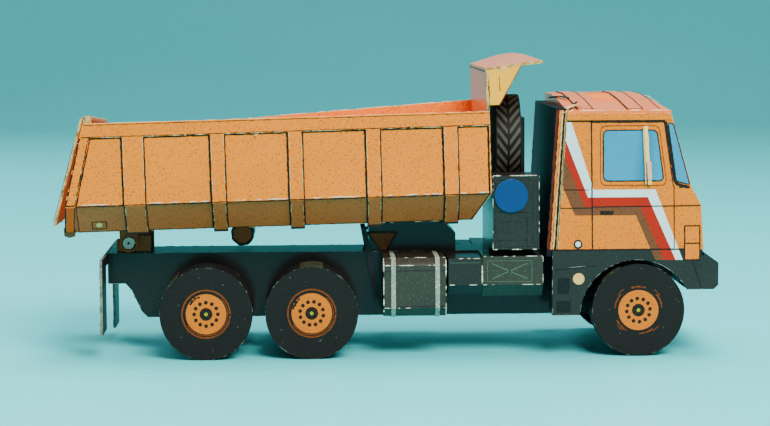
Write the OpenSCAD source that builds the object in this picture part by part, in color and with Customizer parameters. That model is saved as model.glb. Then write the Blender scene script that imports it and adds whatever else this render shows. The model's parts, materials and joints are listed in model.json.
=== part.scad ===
// Small card tipper lorry: three axles, a tipping bed with a hinged tailgate,
// a cab over the front axle. All sizes in millimetres, +X forward, +Z up.
// The origin is under the middle of the model, at the level the wheels stand on.

/* [Card] */
// Thickness of one sheet of card
card = 0.3; // [0.2:0.05:0.4]
// Thickness of the raised strips glued on the bed and the tanks
strip_t = 0.2; // [0.1:0.05:0.25]
// Gap around anything that turns
run_gap = 0.05; // [0.03:0.01:0.08]

/* [Body] */
// Width across the cab and the side walls of the bed
body_w = 24.6; // [20:0.1:30]

/* [Axles] */
// Front axle to middle axle
wheelbase = 36.7; // [34:0.1:46]
// Middle axle to rear axle
bogie = 11.8; // [11.2:0.1:15]
// Front axle to the face of the bumper
front_overhang = 9; // [8.4:0.1:11]
// Rear axle to the end of the chassis
rear_overhang = 11.5; // [9.8:0.1:15]

/* [Wheels] */
// Diameter of every wheel
tyre_d = 10.4; // [9:0.1:11]
// Width of a twin wheel on the two rear axles
twin_w = 5.8; // [4.8:0.1:7]
// Width of a single wheel on the front axle
single_w = 2.9; // [2.4:0.1:3.6]
// Diameter of the rolled axle rods and of the tipping pin
rod_d = 1.46; // [1.2:0.02:1.6]
// How far the wheel faces stand inside the body side
wheel_inset = 0.1; // [0:0.05:0.5]

/* [Chassis] */
// Width of the chassis box
frame_w = 8; // [6.5:0.1:10]
// Height of the chassis top above the ground
frame_top = 11.3; // [10.8:0.1:13]
// Depth of the chassis box
frame_depth = 7.4; // [7:0.1:8]
// Layers of card in the walls of the chassis box
frame_layers = 2; // [1:1:3]
// Depth of the raised tail behind the rear wheels
tail_depth = 3.5; // [3:0.1:5]
// Depth of the mud flaps
flap_h = 8.4; // [6:0.1:9]
// Width of a mud flap
flap_w = 5.6; // [4:0.1:6.4]
// How much lower the left mud flap hangs
flap_drop = 1.6; // [0:0.1:1.8]

/* [Bed] */
// Length of the bed floor from its rear edge
bed_l = 45.9; // [44:0.1:52]
// Rear edge of the bed floor behind the tipping pin
bed_tail = 6.8; // [5.6:0.1:8]
// Height of the tipping pin above the chassis
pin_rise = 1.2; // [1.1:0.05:1.6]
// Bed underside above the tipping pin
bed_rise = 1.85; // [1.7:0.05:2.4]
// Height of the slanted lower panels
chamfer_h = 3.15; // [2:0.05:4]
// Width of the slanted lower panels
chamfer_w = 3.1; // [2:0.05:4]
// Height of the upright side walls
wall_h = 9.15; // [7:0.05:12]
// How far the front wall leans out over the floor
front_lean = 2; // [1:0.1:3]
// How far the rear edge leans forward below and above the knee
rear_foot = 0.45; // [0.1:0.05:1]
rear_lean = 2.25; // [1:0.05:2.8]
// Height of the top rail
rail_h = 1.55; // [1:0.05:2]
// Width of the plain ribs
rib_w = 1.6; // [1.2:0.1:2]
// Width of the wide rear rib
wide_rib_w = 2.4; // [1.8:0.1:3]
// Centre to centre of the ribs
rib_pitch = 8.65; // [8:0.05:9.2]
// How far the left wall has sagged at the rear
sag_rear = 2; // [0:0.1:2.4]
// How far the left wall stands up at the front
lift_front = 0.4; // [0:0.1:0.8]
// Nose-up angle at which the bed rests
bed_set = 1.4; // [0:0.1:3]

/* [Headboard and canopy] */
// Height of the headboard above the side walls
head_h = 4.5; // [3:0.1:7]
// Length of the canopy plate on the right and on the left
canopy_l = 6.4; // [4:0.1:6.6]
canopy_left_l = 7.9; // [4:0.1:8.2]
// Upward slope of the canopy plate
canopy_slope = 7; // [0:0.5:10]
// Width of the gusset at its top and at its foot
gusset_top = 3.7; // [2.5:0.1:5]
gusset_foot = 1.1; // [0.6:0.1:2]

/* [Tailgate] */
// Length of the gate plate below its rod
gate_h = 12.2; // [9:0.1:12.6]
// Diameter of the wire the gate hangs on
gate_rod_d = 0.44; // [0.3:0.02:0.5]
// Height of the wire above the right rail
gate_rod_rise = 0.5; // [0.45:0.01:0.7]
// How far the gate stands open
gate_ajar = 2.6; // [0:0.1:8]
// How far the gate has dropped on the left
gate_sag = 1.5; // [0:0.1:1.8]

/* [Cab] */
// Length of the cab at its foot
cab_l = 16.4; // [15:0.1:18]
// Front face of the cab ahead of the front axle
cab_nose = 7.3; // [6.8:0.1:8]
// Height of the cab side above the chassis
cab_h = 16; // [13:0.1:18]
// Height of the belt line above the chassis
belt_h = 5.7; // [4.5:0.1:7]
// Height of the foot of the windscreen above the chassis
screen_h = 7.8; // [7:0.1:9]
// Lean of the windscreen foot, of the screen top and of the rear edge
screen_in = 1.4; // [1:0.1:2]
screen_lean = 2.3; // [1:0.1:3]
back_lean = 1.05; // [0:0.05:2]
// Rise of the roof on the left, at its middle and on the right
roof_left = 1.6; // [0.8:0.1:2]
roof_mid = 1.4; // [0.8:0.1:2.4]
roof_right = 0.3; // [0.2:0.1:1]
// Layers of card in the back of the cab
back_layers = 4; // [1:1:5]
// Radius of the wheel arch
arch_r = 6.4; // [5.8:0.1:6.8]
// Width of the steps inside the fenders
step_w = 3.4; // [2:0.1:4]

/* [Bumper] */
// Height of the bumper face
bumper_h = 3; // [2:0.1:4]
// Bottom of the bumper above the ground
bumper_z = 7.5; // [6.5:0.1:9]

/* [Boxes] */
// Length of the fuel tanks, the small boxes and the battery boxes
tank_l = 7; // [6:0.1:8]
small_l = 3.8; // [3:0.1:4.4]
battery_l = 6.8; // [6:0.1:7.2]
// Gap between neighbouring boxes
box_gap = 0.05; // [0.02:0.01:0.2]
// Size of the air filter box along, across and up
filter_l = 5.2; // [4:0.1:5.6]
filter_w = 5.9; // [4:0.1:6.4]
filter_h = 8.3; // [6:0.1:10]
// Height of the deck that carries the spare wheel
deck_h = 7.4; // [5:0.1:8]
// Diameter of the filter lid
lid_d = 3.72; // [2.5:0.1:4.5]

/* [Hidden] */
$fn = 64;
half_w = body_w / 2;

// ---- Outline helpers ----
function unit(v) = v / norm(v);
function left_of(a, b) = let (d = unit(b - a)) [-d[1], d[0]];
// A closed counter-clockwise outline moved inwards by d along every edge
function inset(pts, d) = [for (i = [0:len(pts) - 1])
  let (a = pts[(i + len(pts) - 1) % len(pts)], p = pts[i], b = pts[(i + 1) % len(pts)],
       n = left_of(a, p), m = left_of(p, b)) p + (n + m) * d / (1 + n * m)];
// A point turned nose-up by an angle about the origin of the side view
function nose_up(p, a) = [p[0] * cos(a) - p[1] * sin(a), p[0] * sin(a) + p[1] * cos(a)];

// Extrudes a side-view outline [x, z] between two values of y
module across(y0, y1) translate([0, y1, 0]) rotate([90, 0, 0])
  linear_extrude(y1 - y0) children();
// Extrudes an end-view outline [y, z] between two values of x
module along(x0, x1) translate([x0, 0, 0]) rotate([90, 0, 90])
  linear_extrude(x1 - x0) children();
module block(x, y, z) translate([x[0], y[0], z[0]])
  cube([x[1] - x[0], y[1] - y[0], z[1] - z[0]]);
module to_left() mirror([0, 1, 0]) children();

// ---- The bed in the frame of its tipping pin: u forward, w up ----
knee_w = bed_rise + chamfer_h;
rail_w = knee_w + wall_h;
bed_front = bed_l - bed_tail + front_lean;
rib_foot = 0.2;
// Rear edge of the walls at a height, with drop where that side has sunk
rear_slope = atan(rear_lean / wall_h);
function rear_u(w, drop) = -bed_tail + rear_foot + (w + drop - knee_w) * tan(rear_slope);
// The gate wire, its roll and its plate
gate_roll_r = gate_rod_d / 2 + run_gap + 0.18;
plate_d = gate_roll_r - 0.02;
gate_lean = rear_slope + gate_ajar;
gate_slope = atan(gate_sag / body_w);
rod_w = rail_w + gate_rod_rise;
rod_u = rear_u(rod_w, 0) + (plate_d - run_gap) / cos(rear_slope);
rod_mid_w = rod_w - gate_sag / 2;
gate_tip = [rod_u - gate_h * sin(gate_lean) - (plate_d + card) * cos(gate_lean),
  rod_w - gate_h * cos(gate_lean) + (plate_d + card) * sin(gate_lean)];

// ---- Stations along the model ----
pin_inset = 2.5;
tail_past_pin = -nose_up(gate_tip, bed_set)[0];
front_x = (wheelbase + bogie + rear_overhang - pin_inset + tail_past_pin - front_overhang) / 2;
middle_x = front_x - wheelbase;
rear_x = middle_x - bogie;
frame_end = rear_x - rear_overhang;
nose_x = front_x + front_overhang;
pin_x = frame_end + pin_inset;
pin_z = frame_top + pin_rise;
axle_z = tyre_d / 2;
rod_r = rod_d / 2;
frame_y = frame_w / 2;
frame_low = frame_top - frame_depth;
wheel_y = half_w - wheel_inset;
cab_x0 = front_x + cab_nose - cab_l;
cab_x1 = front_x + cab_nose;
frame_nose = cab_x1 - 2.2;
lug_t = 0.8;
lug_r = pin_rise - 0.15;

module on_bed() translate([pin_x, 0, pin_z]) rotate([0, -bed_set, 0]) children();

// ================= Chassis =================
tail_front = frame_end + 2.6;
tail_low = frame_top - tail_depth;
frame_wall = card * frame_layers;
chassis_outline = [[frame_end, frame_top], [frame_end, tail_low], [tail_front - 0.6, tail_low],
  [tail_front + 0.1, tail_low - 0.8], [tail_front + 0.6, tail_low - 1.9],
  [tail_front + 1.2, frame_low + 0.7], [tail_front + 1.9, frame_low],
  [frame_nose - 1, frame_low], [frame_nose, frame_low + 1], [frame_nose, frame_top]];
module chassis_box() color([0.12, 0.13, 0.14]) difference() {
  across(-frame_y, frame_y) polygon(chassis_outline);
  across(-frame_y + frame_wall, frame_y - frame_wall) polygon(inset(chassis_outline, frame_wall));
  for (x = [front_x, middle_x, rear_x]) translate([x, frame_y + 1, axle_z]) rotate([90, 0, 0])
    cylinder(r = rod_r + run_gap, h = frame_w + 2);
}
module tail_crossmember() color([0.1, 0.1, 0.11])
  block([frame_end - card, frame_end], [-wheel_y, wheel_y], [frame_top - 1.2, frame_top]);
module mud_flap_right() color([0.1, 0.1, 0.11])
  block([frame_end - card, frame_end], [-wheel_y, -wheel_y + flap_w],
    [frame_top - flap_h, frame_top - 1.2]);
module mud_flap_left() color([0.1, 0.1, 0.11])
  block([frame_end - card, frame_end], [wheel_y - flap_w, wheel_y],
    [frame_top - flap_h - flap_drop, frame_top - 1.2]);

// Two rounded brackets on the chassis carry the tipping pin
bracket_y1 = frame_y - 0.3;
bracket_y0 = bracket_y1 - lug_t;
module pivot_brackets() color([0.32, 0.22, 0.14]) for (s = [-1, 1])
  translate([pin_x, s * (bracket_y0 + bracket_y1) / 2, frame_top]) difference() {
    across(-lug_t / 2, lug_t / 2) union() {
      translate([0, pin_rise]) circle(r = lug_r);
      square([2.4, pin_rise + lug_r - 0.25]);
      translate([-lug_r - 0.4, 0]) square([lug_r + 0.5, pin_rise + 0.4]);
    }
    translate([0, 1, pin_rise]) rotate([90, 0, 0]) cylinder(r = rod_r, h = 2);
  }
module tipping_pin() color([0.75, 0.76, 0.74])
  translate([pin_x, frame_y + lug_t + 0.1, pin_z]) rotate([90, 0, 0])
    cylinder(r = rod_r, h = frame_w + 2 * lug_t + 0.2);

// Hoist housing under the front of the bed, with a triangular bracket each side
hoist_x0 = pin_x + 27.5;
hoist_x1 = pin_x + 37.5;
hoist_h = 3.1;
hoist_y = frame_y - 0.6;
module hoist_box() color([0.1, 0.11, 0.12]) across(-hoist_y, hoist_y)
  polygon([[hoist_x0, frame_top], [hoist_x1, frame_top], [hoist_x1, frame_top + hoist_h - 1.1],
    [hoist_x1 - 1.2, frame_top + hoist_h], [hoist_x0, frame_top + hoist_h]]);
module hoist_brackets() color([0.36, 0.25, 0.18]) for (s = [-1, 1])
  translate([0, s * (hoist_y + card / 2), 0]) across(-card / 2, card / 2)
    polygon([[hoist_x0 - 0.3, frame_top + 2.2], [hoist_x0 + 1.3, frame_top],
      [hoist_x0 + 2, frame_top], [hoist_x0 + 3.4, frame_top + 2.2]]);

// Side rams: card strips that stand outside the chassis, open at the bed end
ram_t = 0.5;
ram_foot = [hoist_x0 + 0.8, frame_low + 2.3];
ram_head = [hoist_x0 - 0.6, frame_top + 2.75];
ram_w = 0.56;
module ram_right() color([0.2, 0.2, 0.21]) across(-frame_y - ram_t, -frame_y)
  let (d = unit(ram_head - ram_foot) * ram_w / 2, n = [-d[1], d[0]])
  polygon([ram_foot - n - d, ram_foot + n - d, ram_head + n, ram_head - n]);
module ram_left() to_left() ram_right();

// ---- Boxes along the chassis ----
tank_y = half_w - 0.7;
box_y = half_w - 1.1;
battery_x1 = cab_x0 - 1.55;
battery_x0 = battery_x1 - battery_l;
small_x1 = battery_x0 - box_gap;
small_x0 = small_x1 - small_l;
tank_x1 = small_x0 - 0.3;
tank_x0 = tank_x1 - tank_l;
tank_low = frame_low + 0.7;
tank_section = [[-frame_y, tank_low], [-frame_y, frame_top - 0.1],
  [-tank_y + 0.8, frame_top - 0.1], [-tank_y, frame_top - 0.9],
  [-tank_y, tank_low + 1], [-tank_y + 1, tank_low]];
module fuel_tank_right() color([0.22, 0.25, 0.23]) along(tank_x0, tank_x1)
  polygon(tank_section);
module fuel_tank_left() to_left() fuel_tank_right();
// Each strap is a thin strip that goes over, down and under the tank
strap_w = 0.5;
strap_t = 0.1;
module strap_section() difference() {
  polygon(inset(tank_section, -strap_t));
  polygon(tank_section);
  translate([-frame_y, 0]) square([1, frame_top + 1]);
}
module tank_straps_right() color([0.8, 0.82, 0.8])
  for (x = [tank_x0 + 0.85, tank_x0 + 5.8]) along(x, x + strap_w) strap_section();
module tank_straps_left() to_left() tank_straps_right();

module small_box_right() color([0.16, 0.19, 0.19]) along(small_x0, small_x1)
  polygon([[-frame_y, tank_low + 2.4], [-frame_y, frame_top - 0.2], [-box_y, frame_top - 0.2],
    [-box_y, tank_low + 3.5], [-box_y + 1, tank_low + 2.4]]);
module small_box_left() to_left() small_box_right();
module battery_box_right() color([0.2, 0.23, 0.22]) along(battery_x0, battery_x1)
  polygon([[-frame_y, tank_low + 2.1], [-frame_y, frame_top], [-box_y, frame_top],
    [-box_y, tank_low + 3.5], [-box_y + 1.4, tank_low + 2.1]]);
module battery_box_left() to_left() battery_box_right();

// ---- Behind the cab: air filter, deck and spare wheel ----
filter_x1 = cab_x0 - 2;
filter_x0 = filter_x1 - filter_l;
filter_y0 = -half_w + 0.8;
filter_y1 = filter_y0 + filter_w;
deck_y1 = frame_y;
module filter_box() color([0.12, 0.14, 0.15])
  block([filter_x0, filter_x1], [filter_y0, filter_y1],
    [frame_top + 0.8, frame_top + 0.8 + filter_h]);
module filter_lid() color([0.1, 0.38, 0.66])
  translate([filter_x0 + 2.05, filter_y0, frame_top + filter_h - 1.45])
    rotate([90, 0, 0]) cylinder(d = lid_d, h = card);
module spare_deck() color([0.1, 0.11, 0.12])
  block([filter_x0, filter_x1], [filter_y1, deck_y1], [frame_top, frame_top + deck_h]);
spare_x0 = filter_x0 + 0.9;
spare_z = frame_top + deck_h + tyre_d / 2;
// Card drums glued back to back on one axis: each is a tread strip between two discs
module drum(w, bore, drums = 1) let (one = w / drums) difference() {
  cylinder(d = tyre_d, h = w);
  for (i = [0:drums - 1]) translate([0, 0, i * one + card]) difference() {
    cylinder(d = tyre_d - 2 * card, h = one - 2 * card);
    cylinder(r = bore + card, h = one - 2 * card);
  }
  translate([0, 0, -1]) cylinder(r = bore, h = w + 2);
}
module spare_wheel() color([0.1, 0.1, 0.1]) translate([spare_x0, 0, spare_z])
  rotate([0, 90, 0]) drum(single_w, rod_r);
module spare_carrier() color([0.08, 0.08, 0.09])
  block([spare_x0 + single_w, spare_x0 + single_w + 2 * card], [-2.4, 2.4],
    [frame_top + deck_h, spare_z + 2.6]);

// ================= Cab =================
cab_foot = frame_top + 0.7;
cab_top = frame_top + cab_h;
cab_outline = [[cab_x0, cab_foot], [cab_x1, cab_foot], [cab_x1 - 0.3, frame_top + belt_h],
  [cab_x1 - screen_in, frame_top + screen_h],
  [cab_x1 - screen_in - screen_lean, cab_top], [cab_x0 + back_lean, cab_top]];
module cab_side_right() color([0.9, 0.6, 0.22]) across(-half_w, -half_w + card)
  polygon(cab_outline);
module cab_side_left() to_left() cab_side_right();
cab_inner = inset(cab_outline, card);
// Front sheet: nose, shoulder and windscreen in one folded piece
module cab_front() color([0.9, 0.6, 0.22]) across(-half_w + card, half_w - card)
  polygon([cab_outline[1], cab_outline[2], cab_outline[3], cab_outline[4],
    [cab_inner[4][0], cab_top], cab_inner[3], cab_inner[2], [cab_inner[1][0], cab_foot]]);
// Roof: a bowed lid that stands higher on the left
roof_section = [[-half_w, cab_top], [half_w, cab_top], [half_w, cab_top + roof_left],
  [half_w * 0.4, cab_top + roof_mid + 0.25], [-half_w * 0.25, cab_top + roof_mid - 0.25],
  [-half_w, cab_top + roof_right]];
roof_x1 = cab_outline[4][0];
roof_x0 = cab_outline[5][0];
roof_profile = [[roof_x0, cab_top - 1], [roof_x1, cab_top - 1], [roof_x1, cab_top + 0.3],
  [roof_x1 - 0.8, cab_top + 1.1], [roof_x1 - 2.6, cab_top + 3], [roof_x0, cab_top + 3]];
module roof_body(section, profile) intersection() {
  along(roof_x0 - 1, roof_x1 + 1) polygon(section);
  across(-half_w - 1, half_w + 1) polygon(profile);
}
roof_in = inset(roof_section, card);
module cab_roof() color([0.85, 0.62, 0.52]) difference() {
  roof_body(roof_section, roof_profile);
  roof_body([[-half_w + card, cab_top - 0.5], [half_w - card, cab_top - 0.5], roof_in[2],
    roof_in[3], roof_in[4], roof_in[5]], inset(roof_profile, card));
}
// Two raised straps across the roof
module roof_straps() color([0.83, 0.6, 0.5]) for (x = [roof_x0 + 1.3, roof_x0 + 6.9])
  along(x, x + 1.7) difference() {
    polygon(inset(roof_section, -strap_t));
    polygon(roof_section);
    translate([-half_w - 1, cab_top - 1]) square([body_w + 2, 1 + roof_right]);
    translate([half_w - 0.6, cab_top - 1]) square([2, 5]);
    translate([-half_w - 1, cab_top - 1]) square([1.6, 5]);
  }
back_t = card * back_layers;
module cab_back() color([0.08, 0.09, 0.1]) across(-half_w + 0.4, half_w - 0.4)
  polygon([[cab_x0 - back_t, frame_top], [cab_x0, frame_top], cab_outline[0], cab_outline[5],
    [roof_x0, cab_top + 0.6], [roof_x0 - back_t, cab_top + 0.6]]);
module cab_floor() color([0.1, 0.1, 0.1])
  block([cab_x0, cab_x1 - 0.05], [-half_w + card, half_w - card], [frame_top, cab_foot]);

// Fenders: the dark band under the doors with the wheel arch cut out
fender_low = tank_low + 0.1;
fender_x0 = cab_x0 - 0.6;
fender_x1 = cab_x1 - 1.8;
arch_z = cab_foot - 1.1 - arch_r;
module arch(y0, y1) translate([front_x - 0.2, y1, arch_z]) rotate([90, 0, 0])
  cylinder(r = arch_r, h = y1 - y0, $fn = 96);
module fender_right() color([0.13, 0.16, 0.15]) difference() {
  block([fender_x0, fender_x1], [-half_w, -half_w + card], [fender_low, cab_foot]);
  arch(-half_w - 1, -half_w + 2);
}
module fender_left() to_left() fender_right();
module step_right() color([0.1, 0.12, 0.12]) difference() {
  block([fender_x0, front_x], [-half_w + card, -half_w + card + step_w],
    [fender_low, frame_top - 0.9]);
  arch(-half_w - 1, -half_w + card + step_w + 1);
  block([front_x - 4.4, front_x + 1], [-half_w, half_w], [0, frame_top]);
}
module step_left() to_left() step_right();
module bumper() color([0.17, 0.2, 0.2]) difference() {
  across(-half_w, half_w) polygon([[fender_x1, bumper_z], [nose_x - 0.5, bumper_z],
    [nose_x, bumper_z + 0.5], [nose_x, bumper_z + bumper_h], [cab_x1 + 0.05, cab_foot - 0.3],
    [cab_x1 + 0.05, frame_top], [fender_x1, frame_top]]);
  arch(-half_w - 1, half_w + 1);
  for (s = [-1, 1]) translate([nose_x, s * half_w, bumper_z - 1]) rotate([0, 0, s * 45])
    translate([0, -1.5, 0]) cube([3, 3, bumper_h + 3]);
}

// ================= Wheels and axles =================
module axle(x) color([0.12, 0.12, 0.12]) translate([x, wheel_y, axle_z]) rotate([90, 0, 0])
  cylinder(r = rod_r, h = 2 * wheel_y);
module wheel(x, w, drums) color([0.14, 0.14, 0.12])
  translate([x, -wheel_y, axle_z]) rotate([-90, 0, 0]) drum(w, rod_r, drums);
module axle_front() axle(front_x);
module axle_middle() axle(middle_x);
module axle_rear() axle(rear_x);
module wheel_front_right() wheel(front_x, single_w, 1);
module wheel_front_left() to_left() wheel(front_x, single_w, 1);
module wheel_middle_right() wheel(middle_x, twin_w, 2);
module wheel_middle_left() to_left() wheel(middle_x, twin_w, 2);
module wheel_rear_right() wheel(rear_x, twin_w, 2);
module wheel_rear_left() to_left() wheel(rear_x, twin_w, 2);

// ================= Bed =================
floor_y = half_w - chamfer_w;
tub = [[-floor_y, bed_rise], [floor_y, bed_rise], [half_w, knee_w], [half_w, rail_w + 2],
  [-half_w, rail_w + 2], [-half_w, knee_w]];
tub_in = inset(tub, card);
tub_out = inset(tub, -strip_t);
// Side view of the tub with its leaning ends; drop lowers the rear edge of one side
front_low = [bed_front - front_lean, bed_rise];
front_knee = [bed_front, knee_w];
skirt_dx = card / cos(atan(front_lean / chamfer_h));
function side_view(top_rear, top_front, drop) = [[-bed_tail, bed_rise], front_low, front_knee,
  [bed_front, top_front], [rear_u(top_rear, drop), top_rear], [rear_u(knee_w, drop), knee_w]];
module bed_long() along(-bed_tail - 1, bed_front + 1) children();
module bed_trim(top_rear = rail_w, top_front = rail_w, drop = 0)
  across(-half_w - 1, half_w + 1) polygon(side_view(top_rear, top_front, drop));
module bed_floor() color([0.62, 0.42, 0.2]) on_bed() intersection() {
  bed_long() polygon([tub[0], tub[1], tub_in[1], tub_in[0]]);
  bed_trim();
  translate([-skirt_dx, 0, 0]) bed_trim();
}
module bed_wall_right() color([0.91, 0.63, 0.26]) on_bed() intersection() {
  bed_long() polygon([tub[5], tub_in[5], tub_in[4], [-half_w, rail_w + 2]]);
  bed_trim();
}
module bed_wall_left() color([0.91, 0.63, 0.26]) on_bed() intersection() {
  bed_long() polygon([tub[2], tub[3], tub_in[3], tub_in[2]]);
  bed_trim(rail_w - sag_rear, rail_w + lift_front, gate_sag);
}
module chamfer_right(drop) intersection() {
  bed_long() polygon([tub[0], tub_in[0], tub_in[5], tub[5]]);
  bed_trim(drop = drop);
}
module bed_chamfer_right() color([0.6, 0.4, 0.2]) on_bed() chamfer_right(0);
module bed_chamfer_left() color([0.6, 0.4, 0.2]) on_bed() to_left() chamfer_right(gate_sag);
// The headboard stands between the side walls, the skirt leans back below it
module bed_headboard() color([0.93, 0.6, 0.3]) on_bed() {
  intersection() {
    block([bed_front - card, bed_front], [-half_w, half_w], [knee_w, rail_w + 0.01]);
    bed_long() polygon(tub_in);
  }
  block([bed_front - card, bed_front], [-half_w, half_w - card], [rail_w, rail_w + lift_front]);
  block([bed_front - card, bed_front], [-half_w, half_w],
    [rail_w + lift_front, rail_w + head_h]);
}
module bed_front_skirt() color([0.6, 0.4, 0.2]) on_bed() intersection() {
  bed_long() polygon([tub[0], tub[1], tub_in[1], tub_in[2], tub_in[5], tub_in[0]]);
  across(-half_w, half_w) polygon([front_low, front_knee, front_knee - [skirt_dx, 0],
    front_low - [skirt_dx, 0]]);
}
// Raised strips over the wall and the slanted panel; the last follows the rear edge
wide_rib_u = 1.4;
rib_us = [for (i = [0:3]) wide_rib_u + 9.35 + i * rib_pitch];
module rib_section() polygon([tub_out[0] + [0, -rib_foot], tub_out[0], tub_out[5],
  [-half_w - strip_t, rail_w + 1], [-half_w, rail_w + 1], tub[5], tub[0],
  tub[0] + [0, -rib_foot]]);
post_u = 1.1;
module bed_ribs(top_rear, top_front, drop) intersection() {
  union() {
    along(wide_rib_u - wide_rib_w / 2, wide_rib_u + wide_rib_w / 2) rib_section();
    for (u = rib_us) along(u - rib_w / 2, u + rib_w / 2) rib_section();
    intersection() {
      bed_long() rib_section();
      across(-half_w - 1, 0) polygon([[-bed_tail, bed_rise], [-bed_tail + post_u, bed_rise],
        [rear_u(knee_w, drop) + post_u, knee_w], [rear_u(rail_w, drop) + post_u, rail_w],
        [rear_u(rail_w, drop), rail_w], [rear_u(knee_w, drop), knee_w]]);
    }
  }
  across(-half_w - 1, 0) polygon([[-bed_tail, bed_rise - 1], [bed_front, bed_rise - 1],
    [bed_front, top_front - rail_h], [rear_u(top_rear - rail_h, drop), top_rear - rail_h],
    [-bed_tail, top_rear - rail_h]]);
}
module bed_ribs_right() color([0.93, 0.66, 0.3]) on_bed() bed_ribs(rail_w, rail_w, 0);
module bed_ribs_left() color([0.93, 0.66, 0.3]) on_bed() to_left()
  bed_ribs(rail_w - sag_rear, rail_w + lift_front, gate_sag);
module rail_outline(top_rear, top_front, drop) polygon([
  [rear_u(top_rear - rail_h, drop), top_rear - rail_h], [bed_front, top_front - rail_h],
  [bed_front, top_front], [rear_u(top_rear, drop), top_rear]]);
module bed_rails() color([0.92, 0.64, 0.28]) on_bed() {
  across(-half_w - strip_t, -half_w) rail_outline(rail_w, rail_w, 0);
  across(half_w, half_w + strip_t)
    rail_outline(rail_w - sag_rear, rail_w + lift_front, gate_sag);
}
// Lugs under the floor swing on the tipping pin
lug_y0 = frame_y - 0.2;
module bed_lugs() color([0.4, 0.27, 0.15]) on_bed() for (s = [-1, 1])
  translate([0, s * (lug_y0 + lug_t / 2), 0]) difference() {
    union() {
      translate([0, lug_t / 2, 0]) rotate([90, 0, 0]) cylinder(r = lug_r, h = lug_t);
      block([-lug_r, lug_r], [-lug_t / 2, lug_t / 2], [0, bed_rise]);
    }
    translate([0, lug_t, 0]) rotate([90, 0, 0]) cylinder(r = rod_r + run_gap, h = 2 * lug_t);
  }
// An eight-sided roll glued across the underside
buffer_u = 13;
buffer_r = 1.25;
module bed_buffer() color([0.4, 0.26, 0.16]) on_bed()
  translate([buffer_u, frame_y, bed_rise - buffer_r]) rotate([90, 22.5, 0])
    cylinder(r = buffer_r / cos(22.5), h = frame_w, $fn = 8);
// Canopy plate on the headboard with a gusset under each end
module canopy() color([0.84, 0.62, 0.5]) on_bed() {
  translate([bed_front - card, 0, rail_w + head_h]) rotate([0, -canopy_slope, 0])
    linear_extrude(card) polygon([[0, -half_w], [canopy_l, -half_w], [canopy_left_l, half_w],
      [0, half_w]]);
  for (s = [-1, 1]) translate([0, s * (half_w - card / 2), 0]) across(-card / 2, card / 2)
    polygon([[bed_front, rail_w + 0.7], [bed_front + gusset_foot, rail_w + 0.7],
      [bed_front + gusset_top, rail_w + head_h + (gusset_top + card) * tan(canopy_slope)],
      [bed_front, rail_w + head_h + card * tan(canopy_slope)]]);
}
// Ears inside the rear ends of the walls hold the gate wire
module gate_frame() translate([rod_u, 0, rod_mid_w]) rotate([-gate_slope, 0, 0]) children();
ear_r = gate_roll_r - run_gap;
ear_t = 0.5;
ear_y = half_w - card - ear_t;
gate_half = half_w / cos(gate_slope);
module wire(r, half_l) rotate([90, 0, 0]) translate([0, 0, -half_l]) cylinder(r = r, h = 2 * half_l);
module ear(y0, top_rear, drop) let (w = rod_mid_w - (y0 + ear_t / 2) * tan(gate_slope),
    foot = top_rear - 1)
  across(y0, y0 + ear_t) {
    translate([rod_u, w]) circle(r = ear_r);
    polygon([[rod_u - ear_r, w], [rear_u(foot, drop) + 0.1, foot],
      [rear_u(foot, drop) + 1.5, foot], [rod_u + ear_r, w]]);
  }
module gate_hanger() color([0.85, 0.6, 0.3]) on_bed() union() {
  ear(-ear_y - ear_t, rail_w, 0);
  ear(ear_y, rail_w - sag_rear, gate_sag);
  gate_frame() wire(gate_rod_d / 2, (half_w - card) / cos(gate_slope));
}
module tailgate() color([0.88, 0.62, 0.3]) on_bed() union() {
  gate_frame() difference() {
    wire(gate_roll_r, (ear_y - run_gap) / cos(gate_slope));
    wire(gate_rod_d / 2 + run_gap, gate_half);
  }
  intersection() {
    gate_frame() rotate([0, gate_lean, 0]) block([-plate_d - card, -plate_d],
      [-gate_half - 1, gate_half + 1], [-gate_h - 1, 0]);
    block([-20, 5], [-half_w, half_w], [rod_w - gate_h * cos(gate_lean), rail_w + 3]);
  }
}

chassis_box();
tail_crossmember();
mud_flap_right();
mud_flap_left();
pivot_brackets();
tipping_pin();
hoist_box();
hoist_brackets();
ram_right();
ram_left();
fuel_tank_right();
fuel_tank_left();
tank_straps_right();
tank_straps_left();
small_box_right();
small_box_left();
battery_box_right();
battery_box_left();
filter_box();
filter_lid();
spare_deck();
spare_wheel();
spare_carrier();
cab_side_right();
cab_side_left();
cab_front();
cab_roof();
roof_straps();
cab_back();
cab_floor();
fender_right();
fender_left();
step_right();
step_left();
bumper();
axle_front();
axle_middle();
axle_rear();
wheel_front_right();
wheel_front_left();
wheel_middle_right();
wheel_middle_left();
wheel_rear_right();
wheel_rear_left();
bed_floor();
bed_wall_right();
bed_wall_left();
bed_chamfer_right();
bed_chamfer_left();
bed_headboard();
bed_front_skirt();
bed_ribs_right();
bed_ribs_left();
bed_rails();
bed_lugs();
bed_buffer();
canopy();
gate_hanger();
tailgate();
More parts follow.
